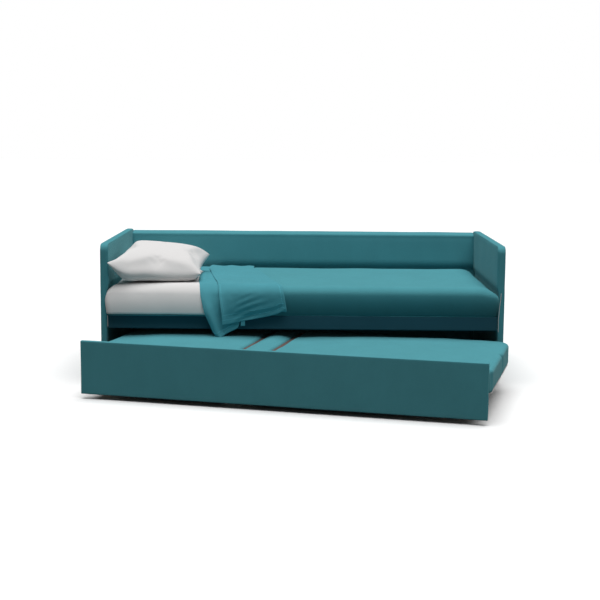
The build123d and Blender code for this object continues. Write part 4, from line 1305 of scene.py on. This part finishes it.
class SOFABED_OT_stage(bpy.types.Operator):
    """Camera at the photograph's place, pale floor and soft studio light"""

    bl_idname = "sofabed.stage"
    bl_label = "Stage"

    def execute(self, context):
        scene = context.scene
        scene.view_settings.view_transform = "Standard"
        self.camera(scene)
        self.floor()
        self.light(scene)
        return {"FINISHED"}

    def camera(self, scene):
        """Stands where the photograph was taken, 1.33 m up and 6.4 m in front of the arms."""
        photo_width, focal_pixels, sensor = 600, 1247.6, 36.0
        aside, before, height = 0.0104, 6.360, 1.333
        pitch, yaw, roll = (math.radians(v) for v in (7.943, -0.207, 0.425))
        forward = Vector((math.sin(yaw) * math.cos(pitch), math.cos(yaw) * math.cos(pitch), -math.sin(pitch)))
        level = Vector((math.cos(yaw), -math.sin(yaw), 0))
        rise = level.cross(forward)
        right = level * math.cos(roll) + rise * math.sin(roll)
        up = rise * math.cos(roll) - level * math.sin(roll)
        turn = Matrix((right, up, -forward)).transposed().to_4x4()
        camera = linked("view", adjust(bpy.data.cameras.new("view"), sensor_width=sensor,
                                       lens=focal_pixels / photo_width * sensor))
        camera.matrix_world = Matrix.Translation((SOFA_X + aside, SOFA_Y - before, height)) @ turn
        scene.camera = camera

    def floor(self):
        """A wide pale floor that shows white and keeps the shadow."""
        reach, bounced, shown = 40.0, 0.15, 1.0
        corners = [(-reach, -reach, 0), (reach, -reach, 0), (reach, reach, 0), (-reach, reach, 0)]
        floor = mesh_object("floor", corners, [(0, 1, 2, 3)])
        made = bpy.data.materials.new("pale_floor")
        made.use_nodes = True
        wires = Wiring(made.node_tree)
        shader = made.node_tree.nodes["Principled BSDF"]
        fill(shader.inputs, {"Roughness": 0.9, "Specular IOR Level": 0.0})
        mix = wires.node("ShaderNodeMix", data_type="RGBA")
        wires.link(wires.seen_directly(), mix.inputs["Factor"])
        # The two colours of a mix node are its inputs 6 and 7, and their result its output 2
        fill(mix.inputs, {6: (bounced, bounced, bounced, 1), 7: (shown, shown, shown, 1)})
        wires.link(mix.outputs[2], shader.inputs["Base Color"])
        floor.data.materials.append(made)

    def light(self, scene):
        """A broad soft sun overhead, a low one from the front, and an even surround."""
        bounced, shown = 0.06, 1.0
        for name, energy, spread, tilt in (("overhead", 3.3, 64, (5, 3)), ("front", 0.06, 90, (62, -10))):
            lamp = linked(name, adjust(bpy.data.lights.new(name, "SUN"), energy=energy,
                                       angle=math.radians(spread)))
            lamp.rotation_euler = (math.radians(tilt[0]), math.radians(tilt[1]), 0)
        world = bpy.data.worlds.new("surround")
        scene.world = world
        world.use_nodes = True
        wires = Wiring(world.node_tree)
        sky = world.node_tree.nodes["Background"]
        level = wires.node("ShaderNodeMapRange")
        wires.link(wires.seen_directly(), level.inputs["Value"])
        fill(level.inputs, {"To Min": bounced, "To Max": shown})
        wires.link(level.outputs[0], sky.inputs["Strength"])
        sky.inputs["Color"].default_value = (1, 1, 1, 1)


class SOFABED_PT_pieces(bpy.types.Panel):
    """Lists the steps that dress the sofa bed"""

    bl_label = "Sofa bed"
    bl_idname = "SOFABED_PT_pieces"
    bl_space_type = "VIEW_3D"
    bl_region_type = "UI"
    bl_category = "Sofa bed"

    def draw(self, context):
        for group in (context.scene.sofa_bed_sizes, context.scene.sofa_bed_colours):
            for name in group.bl_rna.properties.keys():
                if name not in ("rna_type", "name"):
                    self.layout.prop(group, name)
        for step in STEPS:
            self.layout.operator(step.bl_idname)


STEPS = (
    SOFABED_OT_finishes, SOFABED_OT_arms, SOFABED_OT_back, SOFABED_OT_front_rail, SOFABED_OT_upper_mattress,
    SOFABED_OT_fitted_sheet, SOFABED_OT_pillow, SOFABED_OT_throw, SOFABED_OT_pull_out_panel,
    SOFABED_OT_pull_out_blocks, SOFABED_OT_stage,
)
CLASSES = (UpholsterySizes, FinishColours, *STEPS, SOFABED_PT_pieces)


def register():
    for made in CLASSES:
        bpy.utils.register_class(made)
    bpy.types.Scene.sofa_bed_sizes = PointerProperty(type=UpholsterySizes)
    bpy.types.Scene.sofa_bed_colours = PointerProperty(type=FinishColours)


def unregister():
    del bpy.types.Scene.sofa_bed_colours
    del bpy.types.Scene.sofa_bed_sizes
    for made in reversed(CLASSES):
        bpy.utils.unregister_class(made)


def main():
    """Registers the add-on and takes every step in order."""
    register()
    for step in STEPS:
        group, name = step.bl_idname.split(".")
        getattr(getattr(bpy.ops, group), name)()


if __name__ == "__main__":
    main()
